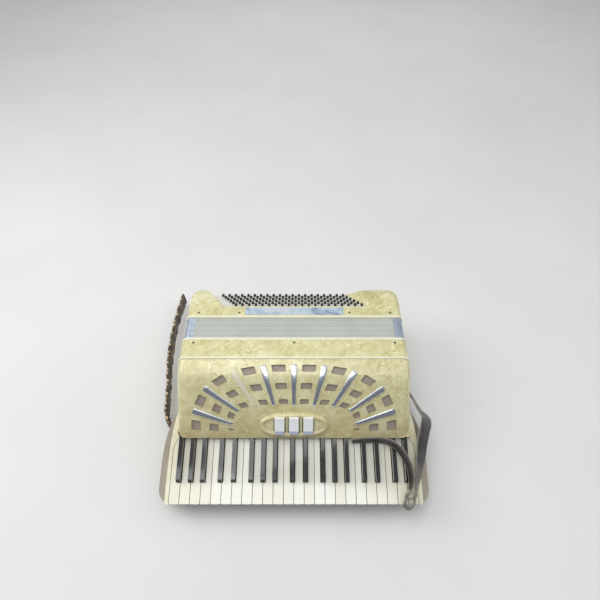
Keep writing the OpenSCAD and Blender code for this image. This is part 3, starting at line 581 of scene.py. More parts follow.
white_key = white_keys()
black_key = black_gloss("black_keys", (0.010, 0.010, 0.011), 0.05, 0.13)
black_plastic = black_gloss("black_plastic", (0.010, 0.010, 0.012), 0.08, 0.2)
chrome = metal("chrome", (0.78, 0.82, 0.86), (0.50, 0.55, 0.62), 0.12, 0.34)
chrome_blue = metal("chrome_corner", (0.62, 0.70, 0.78), (0.38, 0.44, 0.52), 0.20, 0.40)
plate_metal = plate_chrome()
steel = metal("steel", (0.48, 0.47, 0.45), (0.22, 0.20, 0.18), 0.25, 0.5)
screw_steel = metal("screw_steel", (0.20, 0.17, 0.14), (0.08, 0.07, 0.06), 0.30, 0.55)
reed_metal = metal("reed_metal", (0.72, 0.73, 0.75), (0.5, 0.5, 0.5), 0.3, 0.5)
bellows_tape = tape()
grille_mesh = mesh_cloth()
strap_leather = leather("strap_leather", (0.032, 0.028, 0.027), (0.42, 0.37, 0.32), 0.16, 0.85, 0.6)
# chin strap: edge wear, and a painted highlight on the tops of its lumps
strap_wear_and_glints = leather("strap_wear_and_glints", (0.045, 0.030, 0.022), (0.74, 0.56, 0.36), 0.40, 1.0)
thread = leather("strap_thread", (0.55, 0.48, 0.36), (0.35, 0.28, 0.20), 0.4)
spruce = wood("spruce", (0.66, 0.47, 0.27), (0.45, 0.28, 0.14))
red_felt = felt("red_felt", (0.30, 0.03, 0.03), (0.48, 0.10, 0.09))
foot_rubber = rubber()
switch_cap = switch_white()
bare_slat = celluloid("worn_slat", (0.80, 0.77, 0.58), (0.60, 0.56, 0.42))


# ---------- carried-over CAD nodes ----------

def dress(node, mat, edge=0.0, segments=3):
    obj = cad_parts[node]
    obj.data.materials.clear()
    obj.data.materials.append(mat)
    for poly in obj.data.polygons:
        poly.use_smooth = True
        poly.material_index = 0
    if edge:
        weld = obj.modifiers.new("weld", "WELD")
        weld.merge_threshold = 0.00001
        flat = obj.modifiers.new("flat", "DECIMATE")
        flat.decimate_type = "DISSOLVE"
        flat.angle_limit = math.radians(1)
        bevel = obj.modifiers.new("bevel", "BEVEL")
        bevel.width = edge
        bevel.segments = segments
        bevel.limit_method = "ANGLE"
        bevel.angle_limit = math.radians(32)
        bevel.use_clamp_overlap = True
        smooth = obj.modifiers.new("normals", "WEIGHTED_NORMAL")
        smooth.keep_sharp = False


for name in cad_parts:
    if name.startswith("keys_"):
        sharp = name.endswith("sharp")
        dress(name, black_key if sharp else white_key, (1.1 if sharp else 0.9) * MM)

dress("treble_casing", pearl, 0.8 * MM)
# the bed's sides get the taupe copy of the pearl: painted shade
dress("keyboard_bed", shaded_side_band, 4.2 * MM, 5)
dress("keyboard_cheeks", ivory_trim, 1.6 * MM, 4)
dress("treble_bellows_frame", cream, 2.2 * MM, 4)
dress("bass_bellows_frame", cream, 2.2 * MM, 4)
dress("button_board", board_white)
dress("bass_front_plate", plate_metal, 0.4 * MM, 2)
dress("strap_brackets", steel, 0.8 * MM)
dress("register_frame", steel, 0.4 * MM, 2)
dress("register_axle", steel)
dress("key_axle", steel)
dress("key_springs", steel)
for i in (1, 2, 3):
    dress(f"register_switch_{i}", switch_cap, 1.6 * MM, 4)
for name in ("treble_soundboard", "treble_reed_blocks", "bass_soundboard", "bass_reed_blocks"):
    dress(name, spruce, 0.5 * MM, 2)
dress("treble_reed_plates", reed_metal)
dress("strap_wheel", chrome, 0.5 * MM, 2)
dress("air_button", chrome, 0.5 * MM, 2)


# ---------- grille ----------

SEAM_FLAT = 5 * MM
SHOULDER_R = 70 * MM
SLOPE_0 = math.radians(6)
SLOPE_1 = math.radians(46)
GRILLE_T = 3 * MM
ARC_LEN = SHOULDER_R * (SLOPE_1 - SLOPE_0)
GRILLE_LEN = SEAM_FLAT + ARC_LEN + 106 * MM
arc_cy = band_y - SEAM_FLAT * math.cos(SLOPE_0) + SHOULDER_R * math.sin(SLOPE_0)
arc_cz = DEPTH - SEAM_FLAT * math.sin(SLOPE_0) - SHOULDER_R * math.cos(SLOPE_0)


def grille_slope(s):
    return min(max(SLOPE_0 + (s - SEAM_FLAT) / SHOULDER_R, SLOPE_0), SLOPE_1)


def grille_at(s):
    """(y, z, slope) of the grille's outer face at distance s from the seam."""
    a = grille_slope(s)
    if s < SEAM_FLAT:
        return band_y - s * math.cos(a), DEPTH - s * math.sin(a), a
    y, z = arc_cy - SHOULDER_R * math.sin(a), arc_cz + SHOULDER_R * math.cos(a)
    rest = max(s - SEAM_FLAT - ARC_LEN, 0)
    return y - rest * math.cos(SLOPE_1), z - rest * math.sin(SLOPE_1), a


def on_grille(x, s, height=0.0):
    y, z, a = grille_at(s)
    return Vector((x, y - height * math.sin(a), z + height * math.cos(a)))


FAN_S = 153 * MM


def rounded(angle, half_x, half_s, n):
    a = math.radians(angle)
    r = ((abs(math.sin(a)) / half_x) ** n + (abs(math.cos(a)) / half_s) ** n) ** (-1 / n)
    return Vector((r * math.sin(a), FAN_S - r * math.cos(a)))


def fan_outer(angle):
    return rounded(angle, 198 * MM, 138 * MM, 2.8)


def fan_inner(angle):
    return rounded(angle, 118 * MM, 58 * MM, 4.5)


def corner_loop(corners, r, steps=4):
    """A polygon with rounded corners."""
    pts = []
    n = len(corners)
    for i in range(n):
        c = corners[i]
        a = (corners[i - 1] - c).normalized()
        b = (corners[(i + 1) % n] - c).normalized()
        for k in range(steps + 1):
            t = k / steps
            p, q = c + a * r, c + b * r
            pts.append(p * (1 - t) ** 2 + c * 2 * t * (1 - t) + q * t * t)
    return pts


WINDOW_OUTER = [12.3, 34, 52.6, 69.2, 84.4]
WINDOW_INNER = [18, 44, 60, 73, 85.2]
RINGS = [(0.00, 0.17, 27.6, 25.6), (0.44, 0.60, 22.4, 21), (0.84, 0.97, 18, 16.5)]
WINDOW_FADE = 1.7
WINDOW_STRETCH = 0.09
SLIT_W = 3.5
SLIT_SHIFT = 0.06


def window_quads():
    """Corners of every window: its sides follow the rays, its ends follow the fan's outline."""
    quads = []
    for side in (-1, 1):
        for k in range(5):
            a_out, a_in = WINDOW_OUTER[k], WINDOW_INNER[k]
            p, q = fan_outer(a_out), fan_inner(a_in)
            ray = (q - p).normalized()
            across = Vector((-ray.y, ray.x))
            t_out = (fan_outer(a_out + 1) - fan_outer(a_out - 1)).normalized()
            t_in = (fan_inner(a_in + 1) - fan_inner(a_in - 1)).normalized()
            for n, (t0, t1, w0, w1) in enumerate(RINGS):
                slit = k == 4 and n == 2
                tangent = t_out.lerp(t_in, t0)
                along = tangent / tangent.dot(across)
                start = t0 + (SLIT_SHIFT if slit else 0)
                end = start + (t1 - t0) * (1 if slit else 1 + WINDOW_STRETCH * k)
                a, b = p.lerp(q, start), p.lerp(q, end)
                h0 = (SLIT_W if slit else w0 - WINDOW_FADE * k) * MM / 2
                h1 = (SLIT_W if slit else w1 - WINDOW_FADE * k) * MM / 2
                quad = [a - along * h0, a + along * h0, b + along * h1, b - along * h1]
                quads.append([Vector((side * c.x, c.y)) for c in quad])
    return quads


windows = [corner_loop(quad, min(2.6 * MM, 0.42 * (quad[0] - quad[1]).length)) for quad in window_quads()]


def inside(loop, x, s):
    hit = False
    n = len(loop)
    for i in range(n):
        a, b = loop[i], loop[(i + 1) % n]
        if (a.y > s) != (b.y > s) and x < (b.x - a.x) * (s - a.y) / (b.y - a.y) + a.x:
            hit = not hit
    return hit


# The flat domain runs over the end roundings too: x past the rounding's start is arc length
FLAT_X = HALF - EDGE_R
ARC_X = EDGE_R * math.pi / 2
WALL_X = 60 * MM
skirt_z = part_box("treble_grille")[0].z + 2 * MM
FOOT_S = GRILLE_LEN
LIP = 8 * MM


def grille_map(x, s):
    """The flat domain point on the grille: rounding at the ends, then a wall straight down."""
    side = 1 if x > 0 else -1
    u = abs(x)
    s_in = min(s, FOOT_S)
    y, z, a = grille_at(s_in)
    if s > FOOT_S:
        # past the foot the skin turns back under towards the keys
        back = s - FOOT_S
        y, z = y + back, z - 0.1 * MM
    if u <= FLAT_X:
        return Vector((x, y, z))
    turn = min((u - FLAT_X) / ARC_X, 1) * math.pi / 2
    drop = EDGE_R * (1 - math.cos(turn))
    px = FLAT_X + EDGE_R * math.sin(turn)
    py = y + drop * math.sin(a)
    pz = z - drop * math.cos(a)
    if u > FLAT_X + ARC_X:
        t = (u - FLAT_X - ARC_X) / WALL_X
        pz = mix(pz, skirt_z, t)
    py = min(py, band_y - GAP)
    return Vector((side * px, py, max(pz, skirt_z)))


def build_grille():
    """The grille's skin: points on a grid and round the windows, joined in the flat, then bent into place."""
    edge = FLAT_X + ARC_X + WALL_X
    pts, edges = [], []

    def loop(points):
        base = len(pts)
        pts.extend(Vector((p[0], p[1])) for p in points)
        n = len(points)
        edges.extend((base + i, base + (i + 1) % n) for i in range(n))

    xs = [-edge, -edge + WALL_X / 2]
    xs += [-(FLAT_X + ARC_X * k / 7) for k in range(7, 0, -1)]
    nx = 78
    xs += [mix(-FLAT_X, FLAT_X, i / nx) for i in range(nx + 1)]
    xs += [-v for v in reversed(xs[:9])]
    ns = 44
    ss = [GAP] + [FOOT_S * i / ns for i in range(1, ns + 1)] + [FOOT_S + LIP]
    for x in xs:
        for s in ss:
            clear = all(
                (w[0] - Vector((x, s))).length > 40 * MM or
                (not inside(w, x, s) and min((p - Vector((x, s))).length for p in w) > 0.9 * MM)
                for w in windows)
            if clear:
                pts.append(Vector((x, s)))
    for w in windows:
        dense = []
        for i, p in enumerate(w):
            q = w[(i + 1) % len(w)]
            steps = max(1, round((q - p).length / (4 * MM)))
            dense += [p.lerp(q, k / steps) for k in range(steps)]
        loop(dense)
    out, _, tris, *_ = delaunay_2d_cdt(pts, edges, [], 0, 1e-7)
    keep = []
    for tri in tris:
        c = sum((out[i] for i in tri), Vector((0, 0))) / len(tri)
        if not any((w[0] - c).length < 45 * MM and inside(w, c.x, c.y) for w in windows):
            keep.append(tuple(tri))
    verts = [grille_map(p.x, p.y) for p in out]
    obj = mesh_piece("grille_shell", verts, keep, pearl_grille, "treble_side")
    return settle(thicken(recalc(obj), GRILLE_T - 0.3 * MM), 40)


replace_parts(build_grille(), "treble_grille")


BEZEL_S = 133.5 * MM
BEZEL_SIZE = (67 * MM, 24.5 * MM)
FIELD_SIZE = (56.4 * MM, 13.9 * MM)
SWITCH_S = 133 * MM
SWITCH_PITCH = 27.5 * MM
PANEL_H = 2.9 * MM


def oval(half_w, half_h, n):
    """Points of the oval round the switches, about its middle: a superellipse with squarish ends."""
    turns = [2 * math.pi * k / n for k in range(n)]
    return [(half_w * power(math.cos(a), 2 / 2.7), half_h * power(math.sin(a), 2 / 2.2)) for a in turns]


def bezel_ring():
    """The raised rim round the switches."""
    # (inset from the outline, height)
    profile = [(0.0, -1.5), (0.0, 0.6), (0.4, 2.0), (1.2, 3.6), (2.5, 5.2), (4.0, 6.2), (5.6, 6.4),
               (7.2, 5.8), (8.6, 4.7), (9.7, 3.6), (10.6, 2.95), (11.4, 2.9)]
    verts, n = [], 72
    for inset, height in profile:
        outline = oval(BEZEL_SIZE[0] - inset * MM, BEZEL_SIZE[1] - inset * MM, n)
        verts += [on_grille(x, BEZEL_S - d, height * MM) for x, d in outline]
    faces = grid_faces(len(profile), n, close_cols=True)
    return recalc(mesh_piece("register_bezel", verts, faces, pearl_grille, "treble_side"))


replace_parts(bezel_ring(), "treble_grille")


def bezel_field():
    """The flat field inside the rim; the switches pass through it."""
    n, rows = 60, [0.02, 0.25, 0.5, 0.75, 1.0]
    outline = oval(*FIELD_SIZE, n)
    verts = [on_grille(x * t, BEZEL_S - d * t, PANEL_H) for t in rows for x, d in outline]
    faces = grid_faces(len(rows), n, close_cols=True)
    faces.append(tuple(range(n)))
    obj = recalc(mesh_piece("register_field", verts, faces, pearl_field, "treble_side"))
    return settle(thicken(obj, 1.0 * MM))


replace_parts(bezel_field(), "treble_grille")


def switch_gap_shadows():
    """Painted shadow of the gaps round the switches: thin black frames, open where the switches rock."""
    parts = []
    for i in (-1, 0, 1):
        x0 = i * SWITCH_PITCH
        rings = []
        # half width, half length, corner radius and height over the skin, in mm;
        # the last two bound the hole that the square-cornered switch rocks in
        for w, h, r, height in ((11.7, 19.2, 2.0, 2.6), (11.7, 19.2, 2.0, 3.15), (11.3, 18.8, 1.8, 3.3),
                                (10.8, 18.5, 1.6, 3.25), (10.1, 18.4, 1.2, 2.7), (9.3, 18.3, 0.5, 2.7),
                                (9.3, 18.3, 0.5, 2.5)):
            w, h = w * MM, h * MM
            loop = round_rect_points(x0 - w, SWITCH_S - h, x0 + w, SWITCH_S + h, r * MM, 4)
            rings.append([on_grille(x, s, height * MM) for x, s in loop])
        faces = grid_faces(len(rings), len(rings[0]), close_rows=True, close_cols=True)
        parts.append((flat_list(rings), faces))
    return join_parts("switch_gap_shadows", parts, black_plastic, "treble_side")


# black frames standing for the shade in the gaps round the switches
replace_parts(switch_gap_shadows(), "treble_grille")


def slats():
    """Domed slats between the rays of windows; the second from the top on the left has lost its chrome."""
    outer_a = [0, 23.7, 43.2, 61.7, 76.3]
    inner_a = [0, 33.5, 52.8, 66.1, 79.7]
    steps = 30
    parts, bare = [], []
    for k in range(5):
        for side in ((1,) if k == 0 else (-1, 1)):
            p, q = fan_outer(outer_a[k]), fan_inner(inner_a[k])
            p, q = Vector((side * p.x, p.y)), Vector((side * q.x, q.y))
            ray = (q - p).normalized()
            across = Vector((-ray.y, ray.x))
            rings = []
            for i in range(steps + 1):
                t = i / steps
                c = p.lerp(q, t)
                half = mix(12.6, 6.4, t) * MM / 2
                tip = min(1, (i + 0.35) / 1.2, (steps - i + 0.35) / 1.2)
                top = (0.5 + 1.7 * tip) * MM
                section = mirrored([(-1.0, -0.2), (-1.0, 0.45), (-0.90, 0.86), (-0.72, 1.0), (0, 1.06)])
                ring = []
                for u, h in section:
                    at = c + across * (u * half * (0.82 + 0.18 * tip))
                    ring.append(on_grille(at.x, at.y, h * top))
                rings.append(ring)
            n = len(rings[0])
            verts = flat_list(rings)
            faces = grid_faces(len(rings), n, close_cols=True)
            faces += [tuple(range(n)), tuple(range(len(verts) - n, len(verts)))]
            (bare if (k, side) == (2, -1) else parts).append((verts, faces))
    for name, built, mat, slot in (("grille_chrome_slats", parts, chrome, "chrome"),
                                   ("grille_bare_slat", bare, bare_slat, "cream_moulding")):
        stand_in(join_parts(name, built, mat, "treble_side"), "grille_slats", 50)


slats()


def cloth_sheet():
    """Mesh cloth behind the windows, stretched with small waves, with a hole for the switch mechanism."""
    lo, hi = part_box("grille_cloth")
    drop = 4.2 * MM
    cols, rows = 86, 30
    s0, s1 = 9 * MM, 155 * MM
    hole_x, hole_s = 67 * MM, 104 * MM
    verts, faces = [], []
    for i in range(rows + 1):
        for j in range(cols + 1):
            x = mix(lo.x, hi.x, j / cols)
            s = mix(s0, s1, i / rows)
            sag = 0.25 * MM * math.sin(j * 0.9 + i * 0.3) * math.sin(i * 0.7)
            verts.append(on_grille(x, s, sag - drop))
    for i in range(rows):
        for j in range(cols):
            x = mix(lo.x, hi.x, (j + 0.5) / cols)
            s = mix(s0, s1, (i + 0.5) / rows)
            if abs(x) < hole_x and s > hole_s:
                continue
            a = i * (cols + 1) + j
            faces.append((a, a + 1, a + cols + 2, a + cols + 1))
    obj = recalc(mesh_piece("grille_mesh_sheet", verts, faces, grille_mesh, "treble_side"))
    return settle(thicken(obj, 0.5 * MM), 60)


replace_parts(cloth_sheet(), "grille_cloth")


def seam_strip():
    """Half-round moulding over the seam, carried down round both ends."""
    y = band_y - 1.0 * MM
    end_z = 112 * MM
    outline = [(-HALF, end_z)]
    outline += [(-HALF, mix(end_z, DEPTH - EDGE_R, t)) for t in (0.33, 0.66)]
    for k in range(9):
        a = math.radians(180 - 90 * k / 8)
        outline.append((-HALF + EDGE_R + EDGE_R * math.cos(a), DEPTH - EDGE_R + EDGE_R * math.sin(a)))
    left = list(outline)
    outline += [(mix(-FLAT_X, FLAT_X, i / 24), DEPTH) for i in range(1, 24)]
    outline += [(-x, z) for x, z in reversed(left)]
    rings = []
    for i, (x, z) in enumerate(outline):
        a = outline[max(i - 1, 0)]
        b = outline[min(i + 1, len(outline) - 1)]
        tx, tz = b[0] - a[0], b[1] - a[1]
        length = math.hypot(tx, tz)
        nx, nz = -tz / length, tx / length
        ring = []
        for k in range(9):
            t = math.radians(180 * k / 8)
            out = 2.0 * MM * math.sin(t)
            ring.append(Vector((x + nx * out, y + 2.6 * MM * math.cos(t), z + nz * out)))
        ring.append(Vector((x - nx * 0.3 * MM, y - 2.0 * MM, z - nz * 0.3 * MM)))
        ring.append(Vector((x - nx * 0.3 * MM, y + 2.0 * MM, z - nz * 0.3 * MM)))
        rings.append(ring)
    return loft("grille_seam_strip", rings, cream, "treble_side")


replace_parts(seam_strip(), "grille_moulding")


# ---------- bass casing ----------

FAR_R = 66 * MM
CORNER_R = 20 * MM
BOARD_Y = bass_lo.y + 23.5 * MM
BOARD_Z = 188.5 * MM
BOARD_SLOPE = math.radians(29)
BOARD_T = 4 * MM
BOARD_LEFT = -147 * MM
BOARD_RIGHT = 166 * MM
BOARD_SKEW = 0.6
SWEEP_R = 38 * MM
# a height over everything, where there is no recess
OUTSIDE = 1.0


def recess_height(x, y):
    """Height of the sunk field for the buttons: flat floor, steep left side, concave sweep at the right."""
    if y < BOARD_Y - 0.05 * MM:
        return OUTSIDE
    run = (y - BOARD_Y) / math.cos(BOARD_SLOPE)
    floor = BOARD_Z - (y - BOARD_Y) * math.tan(BOARD_SLOPE) - (BOARD_T + 0.6 * MM) / math.cos(BOARD_SLOPE)
    left = BOARD_LEFT - BOARD_SKEW * run
    right = BOARD_RIGHT - BOARD_SKEW * run
    if x < left:
        return floor + (left - x) * 5.0
    over = x - right
    if over > 0:
        if over >= SWEEP_R:
            return OUTSIDE
        return floor + BOARD_T + SWEEP_R - math.sqrt(SWEEP_R ** 2 - over ** 2)
    return floor


def bass_shell():
    """The casing's skin, lofted along its outline, with the recess pressed into it."""
    y0, y1 = bass_lo.y, bass_hi.y
    foot_r = 7 * MM
    # the outline in Y and Z, with the outward normal
    path = [(mix(y0, y1 - foot_r, i / 6), 0.0, 0.0, -1.0) for i in range(7)]
    path += [(y1 - foot_r + foot_r * math.sin(a), foot_r - foot_r * math.cos(a), math.sin(a), -math.cos(a))
             for a in [math.radians(90 * k / 4) for k in range(1, 5)]]
    top = DEPTH - FAR_R
    path += [(y1, mix(foot_r, top, i / 8), 1.0, 0.0) for i in range(1, 9)]
    path += [(y1 - FAR_R + FAR_R * math.cos(a), top + FAR_R * math.sin(a), math.cos(a), math.sin(a))
             for a in [math.radians(90 * k / 44) for k in range(1, 45)]]
    front = BOARD_Y / MM
    ys = [98, 96, 94, 92, 90, 88.5, 87, 86, front + 0.02, front - 0.12, 84.9, 84.2, 83, 81, 78, 72, 66]
    path += [(y * MM, DEPTH, 0.0, 1.0) for y in ys] + [(y0, DEPTH, 0.0, 1.0)]
    fractions = [0, 0.12, 0.3, 0.55, 0.75, 0.9]
    verts = []
    count = 0
    for y, z, ny, nz in path:
        if z < foot_r and ny < 1:
            r = mix(EDGE_R, foot_r, smoothstep(y1 - 60 * MM, y1 - foot_r, y))
        elif ny == 1.0:
            r = mix(foot_r, CORNER_R, smoothstep(foot_r, 70 * MM, z))
        else:
            r = mix(EDGE_R, CORNER_R, smoothstep(y1 - 50 * MM, y1 - 5 * MM, y) * max(ny, 0))
        run = (min(max(y, BOARD_Y), y1) - BOARD_Y) / math.cos(BOARD_SLOPE)
        left = BOARD_LEFT - BOARD_SKEW * run
        right = BOARD_RIGHT - BOARD_SKEW * run
        lim = HALF - r
        xs = [mix(-lim, left - 9 * MM, f) for f in fractions]
        xs += [left - v * MM for v in (9, 7, 5.5, 4.2, 3.2, 2.4, 1.6, 0.8, 0, -1)]
        xs += [mix(left + 1 * MM, right, k / 26) for k in range(1, 27)]
        stop = min(right + SWEEP_R + 6 * MM, lim - 0.5 * MM)
        xs += [mix(right, stop, k / 16) for k in range(1, 17)]
        xs += [mix(stop, lim, k / 4) for k in range(1, 5)]
        inset_y, inset_z = y - ny * r, z - nz * r
        arc = [(lim + r * math.cos(a), inset_y + ny * r * math.sin(a), inset_z + nz * r * math.sin(a))
               for a in [math.radians(90 * k / 7) for k in range(7)]]
        ring = [(-x, py, pz) for x, py, pz in arc] + [(x, y, z) for x in xs] + arc[::-1]
        for x, py, pz in ring:
            depth = recess_height(x, y)
            if pz > depth - 6 * MM and depth < OUTSIDE:
                pz = smin(pz, depth, 3.5 * MM)
            verts.append(Vector((x, py, pz)))
        count = len(ring)
    rows = len(path)
    faces = grid_faces(rows, count)
    faces.append(tuple(i * count for i in range(rows)))
    faces.append(tuple(i * count + count - 1 for i in range(rows)))
    obj = recalc(mesh_piece("bass_shell", verts, faces, pearl, "bass_side"))
    return settle(thicken(obj, 2.6 * MM), 38)


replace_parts(bass_shell(), "bass_casing")


# ---------- bass buttons ----------

ROWS = ["counterbass", "bass", "major", "minor", "seventh", "diminished"]
ROW_0 = 23 * MM
ROW_PITCH = 11 * MM
BUTTON_R = 3.2 * MM
COLUMNS = 20
board_up = Vector((0, math.sin(BOARD_SLOPE), math.cos(BOARD_SLOPE)))
board_run = Vector((0, math.cos(BOARD_SLOPE), -math.sin(BOARD_SLOPE)))

for r, row in enumerate(ROWS):
    lo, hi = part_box(f"buttons_{row}")
    parts = []
    for j in range(COLUMNS):
        x = mix(lo.x + BUTTON_R, hi.x - BUTTON_R, j / (COLUMNS - 1))
        centre = Vector((x, BOARD_Y, BOARD_Z)) + board_run * (ROW_0 + r * ROW_PITCH)
        # the foot stays over the casing's skin when the button is pressed by 3.5 mm
        profile = [(0.02, -0.3), (0.92, -0.3), (0.95, 2.0), (0.95, 4.2), (0.90, 4.9), (0.78, 5.35),
                   (0.60, 5.5), (0.40, 5.42), (0.18, 5.30), (0.02, 5.28)]
        parts.append(lathe([(a * BUTTON_R, h * MM) for a, h in profile], centre, board_up, 20))
    node = f"buttons_{row}"
    stand_in(join_parts(f"button_caps_{row}", parts, black_plastic, node), node, 60)


# ---------- bellows ----------

CARD_INSET = 1.5 * MM
FOLD_DEPTH = 26 * MM


def bellows_ring(inset, y, straight=30):
    r = max(EDGE_R - inset, 1.5 * MM)
    return [Vector((x, y, z)) for x, z in
            round_rect_points(-HALF + inset, inset, HALF - inset, DEPTH - inset, r, 7, straight)]


def follow_folds(obj):
    """Bakes the piece's placement into its mesh and hides the CAD folds that it stands for."""
    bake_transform(obj)
    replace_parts(obj, *(f"bellows_folds_{i}" for i in (1, 2, 3, 4)))


def bellows():
    """One pleated skin of sixteen folds, and a metal guard round each corner of each fold."""
    start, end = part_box("treble_bellows_frame")[1].y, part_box("bass_bellows_frame")[0].y
    pitch = (end - start - 0.2 * MM) / FOLDS
    # (share of the pitch from the fold's middle, depth in mm) of the tape, then of the guards over it
    cap = mirrored([(-0.46, 3.0), (-0.44, 0.9), (-0.36, 0.30), (-0.18, 0.05), (0.0, 0.0)])
    skin = mirrored([(-0.47, 2.4), (-0.45, 0.5), (-0.36, -0.18), (-0.18, -0.42), (0.0, -0.48)])
    rings, weights = [bellows_ring(CARD_INSET + 8 * MM, start + 0.05 * MM)], [0.0]
    for k in range(FOLDS):
        mid = start + 0.1 * MM + (k + 0.5) * pitch
        w = (k + 0.5) / FOLDS
        for t, inset in cap:
            rings.append(bellows_ring(CARD_INSET + inset * MM, mid + t * pitch))
            weights.append(w)
        if k < FOLDS - 1:
            rings.append(bellows_ring(CARD_INSET + FOLD_DEPTH - 4 * MM, mid + 0.5 * pitch))
            weights.append((k + 1) / FOLDS)
    rings.append(bellows_ring(CARD_INSET + 8 * MM, end - 0.05 * MM))
    weights.append(1.0)
    n = len(rings[0])
    faces = grid_faces(len(rings), n, close_cols=True)
    obj = recalc(mesh_piece("bellows_tape", flat_list(rings), faces, bellows_tape, None))
    obj.data.set_sharp_from_angle(angle=math.radians(70))
    follow_folds(obj)

    parts, guard_w = [], []
    ends = (7.5 * MM, 6.7 * MM, 3.75 * MM)
    steps = 7
    for k in range(FOLDS):
        mid = start + 0.1 * MM + (k + 0.5) * pitch
        w = (k + 0.5) / FOLDS
        for corner in range(4):
            sections = []
            for t, inset in skin:
                d = CARD_INSET + inset * MM
                r = EDGE_R - d
                cx = (HALF - EDGE_R) * (1 if corner in (0, 1) else -1)
                cz = DEPTH - EDGE_R if corner in (1, 2) else EDGE_R
                a0 = math.radians((-90, 0, 90, 180)[corner])
                a1 = a0 + math.radians(90)
                turns = [a0 + math.radians(90 * i / steps) for i in range(steps + 1)]
                arc = [Vector((cx + r * math.cos(a), cz + r * math.sin(a))) for a in turns]
                before = Vector((math.sin(a0), -math.cos(a0)))
                after = Vector((-math.sin(a1), math.cos(a1)))
                line = [arc[0] + before * d for d in ends] + arc
                line += [arc[-1] + after * d for d in reversed(ends)]
                sections.append([Vector((p.x, mid + t * pitch, p.y)) for p in line])
            v = flat_list(sections)
            parts.append((v, grid_faces(len(sections), len(sections[0]))))
            guard_w += [w] * len(v)
    guards = join_parts("bellows_corner_guards", parts, chrome_blue, None)
    follow_folds(guards)


bellows()


# ---------- back cover and feet ----------

def back_cover():
    """The grooved rear panel, its feet and the air button's ring; returns the places of its screws."""
    lo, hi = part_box("bass_cover")
    steps = [(0.0, -0.8), (0.0, 0.45), (0.35, 0.85), (1.1, 1.0), (5.0, 1.0), (5.5, 0.35), (6.3, 0.35),
             (6.8, 1.0)]
    rings = []
    for inset, height in steps:
        r = max(6 - inset, 1.5) * MM
        d = inset * MM
        outline = round_rect_points(lo.x + d, lo.z + d, hi.x - d, hi.z - d, r, 6)
        rings.append([Vector((x, hi.y + height * MM, z)) for x, z in outline])
    stand_in(loft("back_cover_panel", rings, pearl, "bass_side"), "bass_cover", 50)
    foot_lo, foot_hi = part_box("bass_feet")
    inset = (hi.z - lo.z - (foot_hi.z - foot_lo.z)) / 2 + 9 * MM
    profile = [(0.02, -0.5), (9.0, -0.5), (9.0, 1.0), (8.8, 3.0), (8.0, 13.5), (7.6, 15.2), (7.0, 15.9),
               (6.0, 16.0), (3.2, 16.0), (2.9, 15.4), (2.8, 12.5), (0.02, 12.3)]
    profile = [(r * MM, h * MM) for r, h in profile]
    corners = [(x, z) for x in (lo.x + inset, hi.x - inset) for z in (lo.z + inset, hi.z - inset)]
    parts = [lathe(profile, (x, hi.y, z), (0, 1, 0), 36) for x, z in corners]
    stand_in(join_parts("rubber_feet", parts, foot_rubber, "bass_side"), "bass_feet", 50)
    button_lo, button_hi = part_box("air_button")
    collar = [(7.3, 0.4), (9.6, 0.4), (9.6, 1.4), (9.0, 2.0), (8.0, 2.1), (7.4, 1.7)]
    centre = ((button_lo.x + button_hi.x) / 2, hi.y, (button_lo.z + button_hi.z) / 2)
    verts, _ = lathe([(r * MM, h * MM) for r, h in collar], centre, (0, 1, 0), 40)
    faces = grid_faces(len(collar), 40, True, True)
    stand_in(join_parts("air_button_collar", [(verts, faces)], chrome, "bass_side"), "bass_cover")
    screws = [(x, z) for x in (lo.x + 3 * MM, 0.0, hi.x - 3 * MM) for z in (lo.z + 3 * MM, hi.z - 3 * MM)]
    return [((x, hi.y + 0.8 * MM, z), (0, 1, 0)) for x, z in screws]


# ---------- screws ----------

def screw_head(centre, axis, radius, height, turn):
    """A domed head with a slot, on a square grid bent into a disc."""
    axis = Vector(axis).normalized()
    side = axis.orthogonal().normalized()
    other = axis.cross(side)
    ct, st = math.cos(turn), math.sin(turn)
    lines = [-1, -0.9, -0.7, -0.45, -0.2, -0.15, 0.15, 0.2, 0.45, 0.7, 0.9, 1]
    n = len(lines)
    verts = []
    for v in lines:
        for u in lines:
            x, y = u * math.sqrt(1 - v * v / 2), v * math.sqrt(1 - u * u / 2)
            rr = min(math.hypot(x, y), 1)
            h = height * math.sqrt(max(1 - rr * rr * 0.92, 0.0))
            if abs(v) <= 0.16 and rr < 0.99:
                h -= 0.35 * height
            px, py = ct * x - st * y, st * x + ct * y
            verts.append(Vector(centre) + side * px * radius + other * py * radius + axis * h)
    faces = grid_faces(n, n)
    rim = list(range(n)) + [i * n + n - 1 for i in range(1, n)]
    rim += [(n - 1) * n + j for j in range(n - 2, -1, -1)] + [i * n for i in range(n - 2, 0, -1)]
    base = len(verts)
    for i in rim:
        verts.append(verts[i] - axis * height * 1.3)
    m = len(rim)
    faces += [(rim[k], rim[(k + 1) % m], base + (k + 1) % m, base + k) for k in range(m)]
    faces.append(tuple(base + k for k in range(m)))
    return verts, faces


def any_turn():
    return random.uniform(0, math.pi)


random.seed(7)
for node, body, xs in (("treble_bellows_pins", "treble_side", (-200, 0, 200)),
                       ("bass_bellows_pins", "bass_side", (-200, -115, 115, 200))):
    lo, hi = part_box(node)
    parts = [screw_head((x * MM, (lo.y + hi.y) / 2, DEPTH), (0, 0, 1), 2.5 * MM, 1.0 * MM, any_turn())
             for x in xs]
    stand_in(join_parts(node + "_heads", parts, screw_steel, body), node, 40)

parts = [screw_head(at, axis, 2.0 * MM, 0.9 * MM, any_turn()) for at, axis in back_cover()]
stand_in(join_parts("back_cover_screws", parts, steel, "bass_side"), "bass_cover", 40)

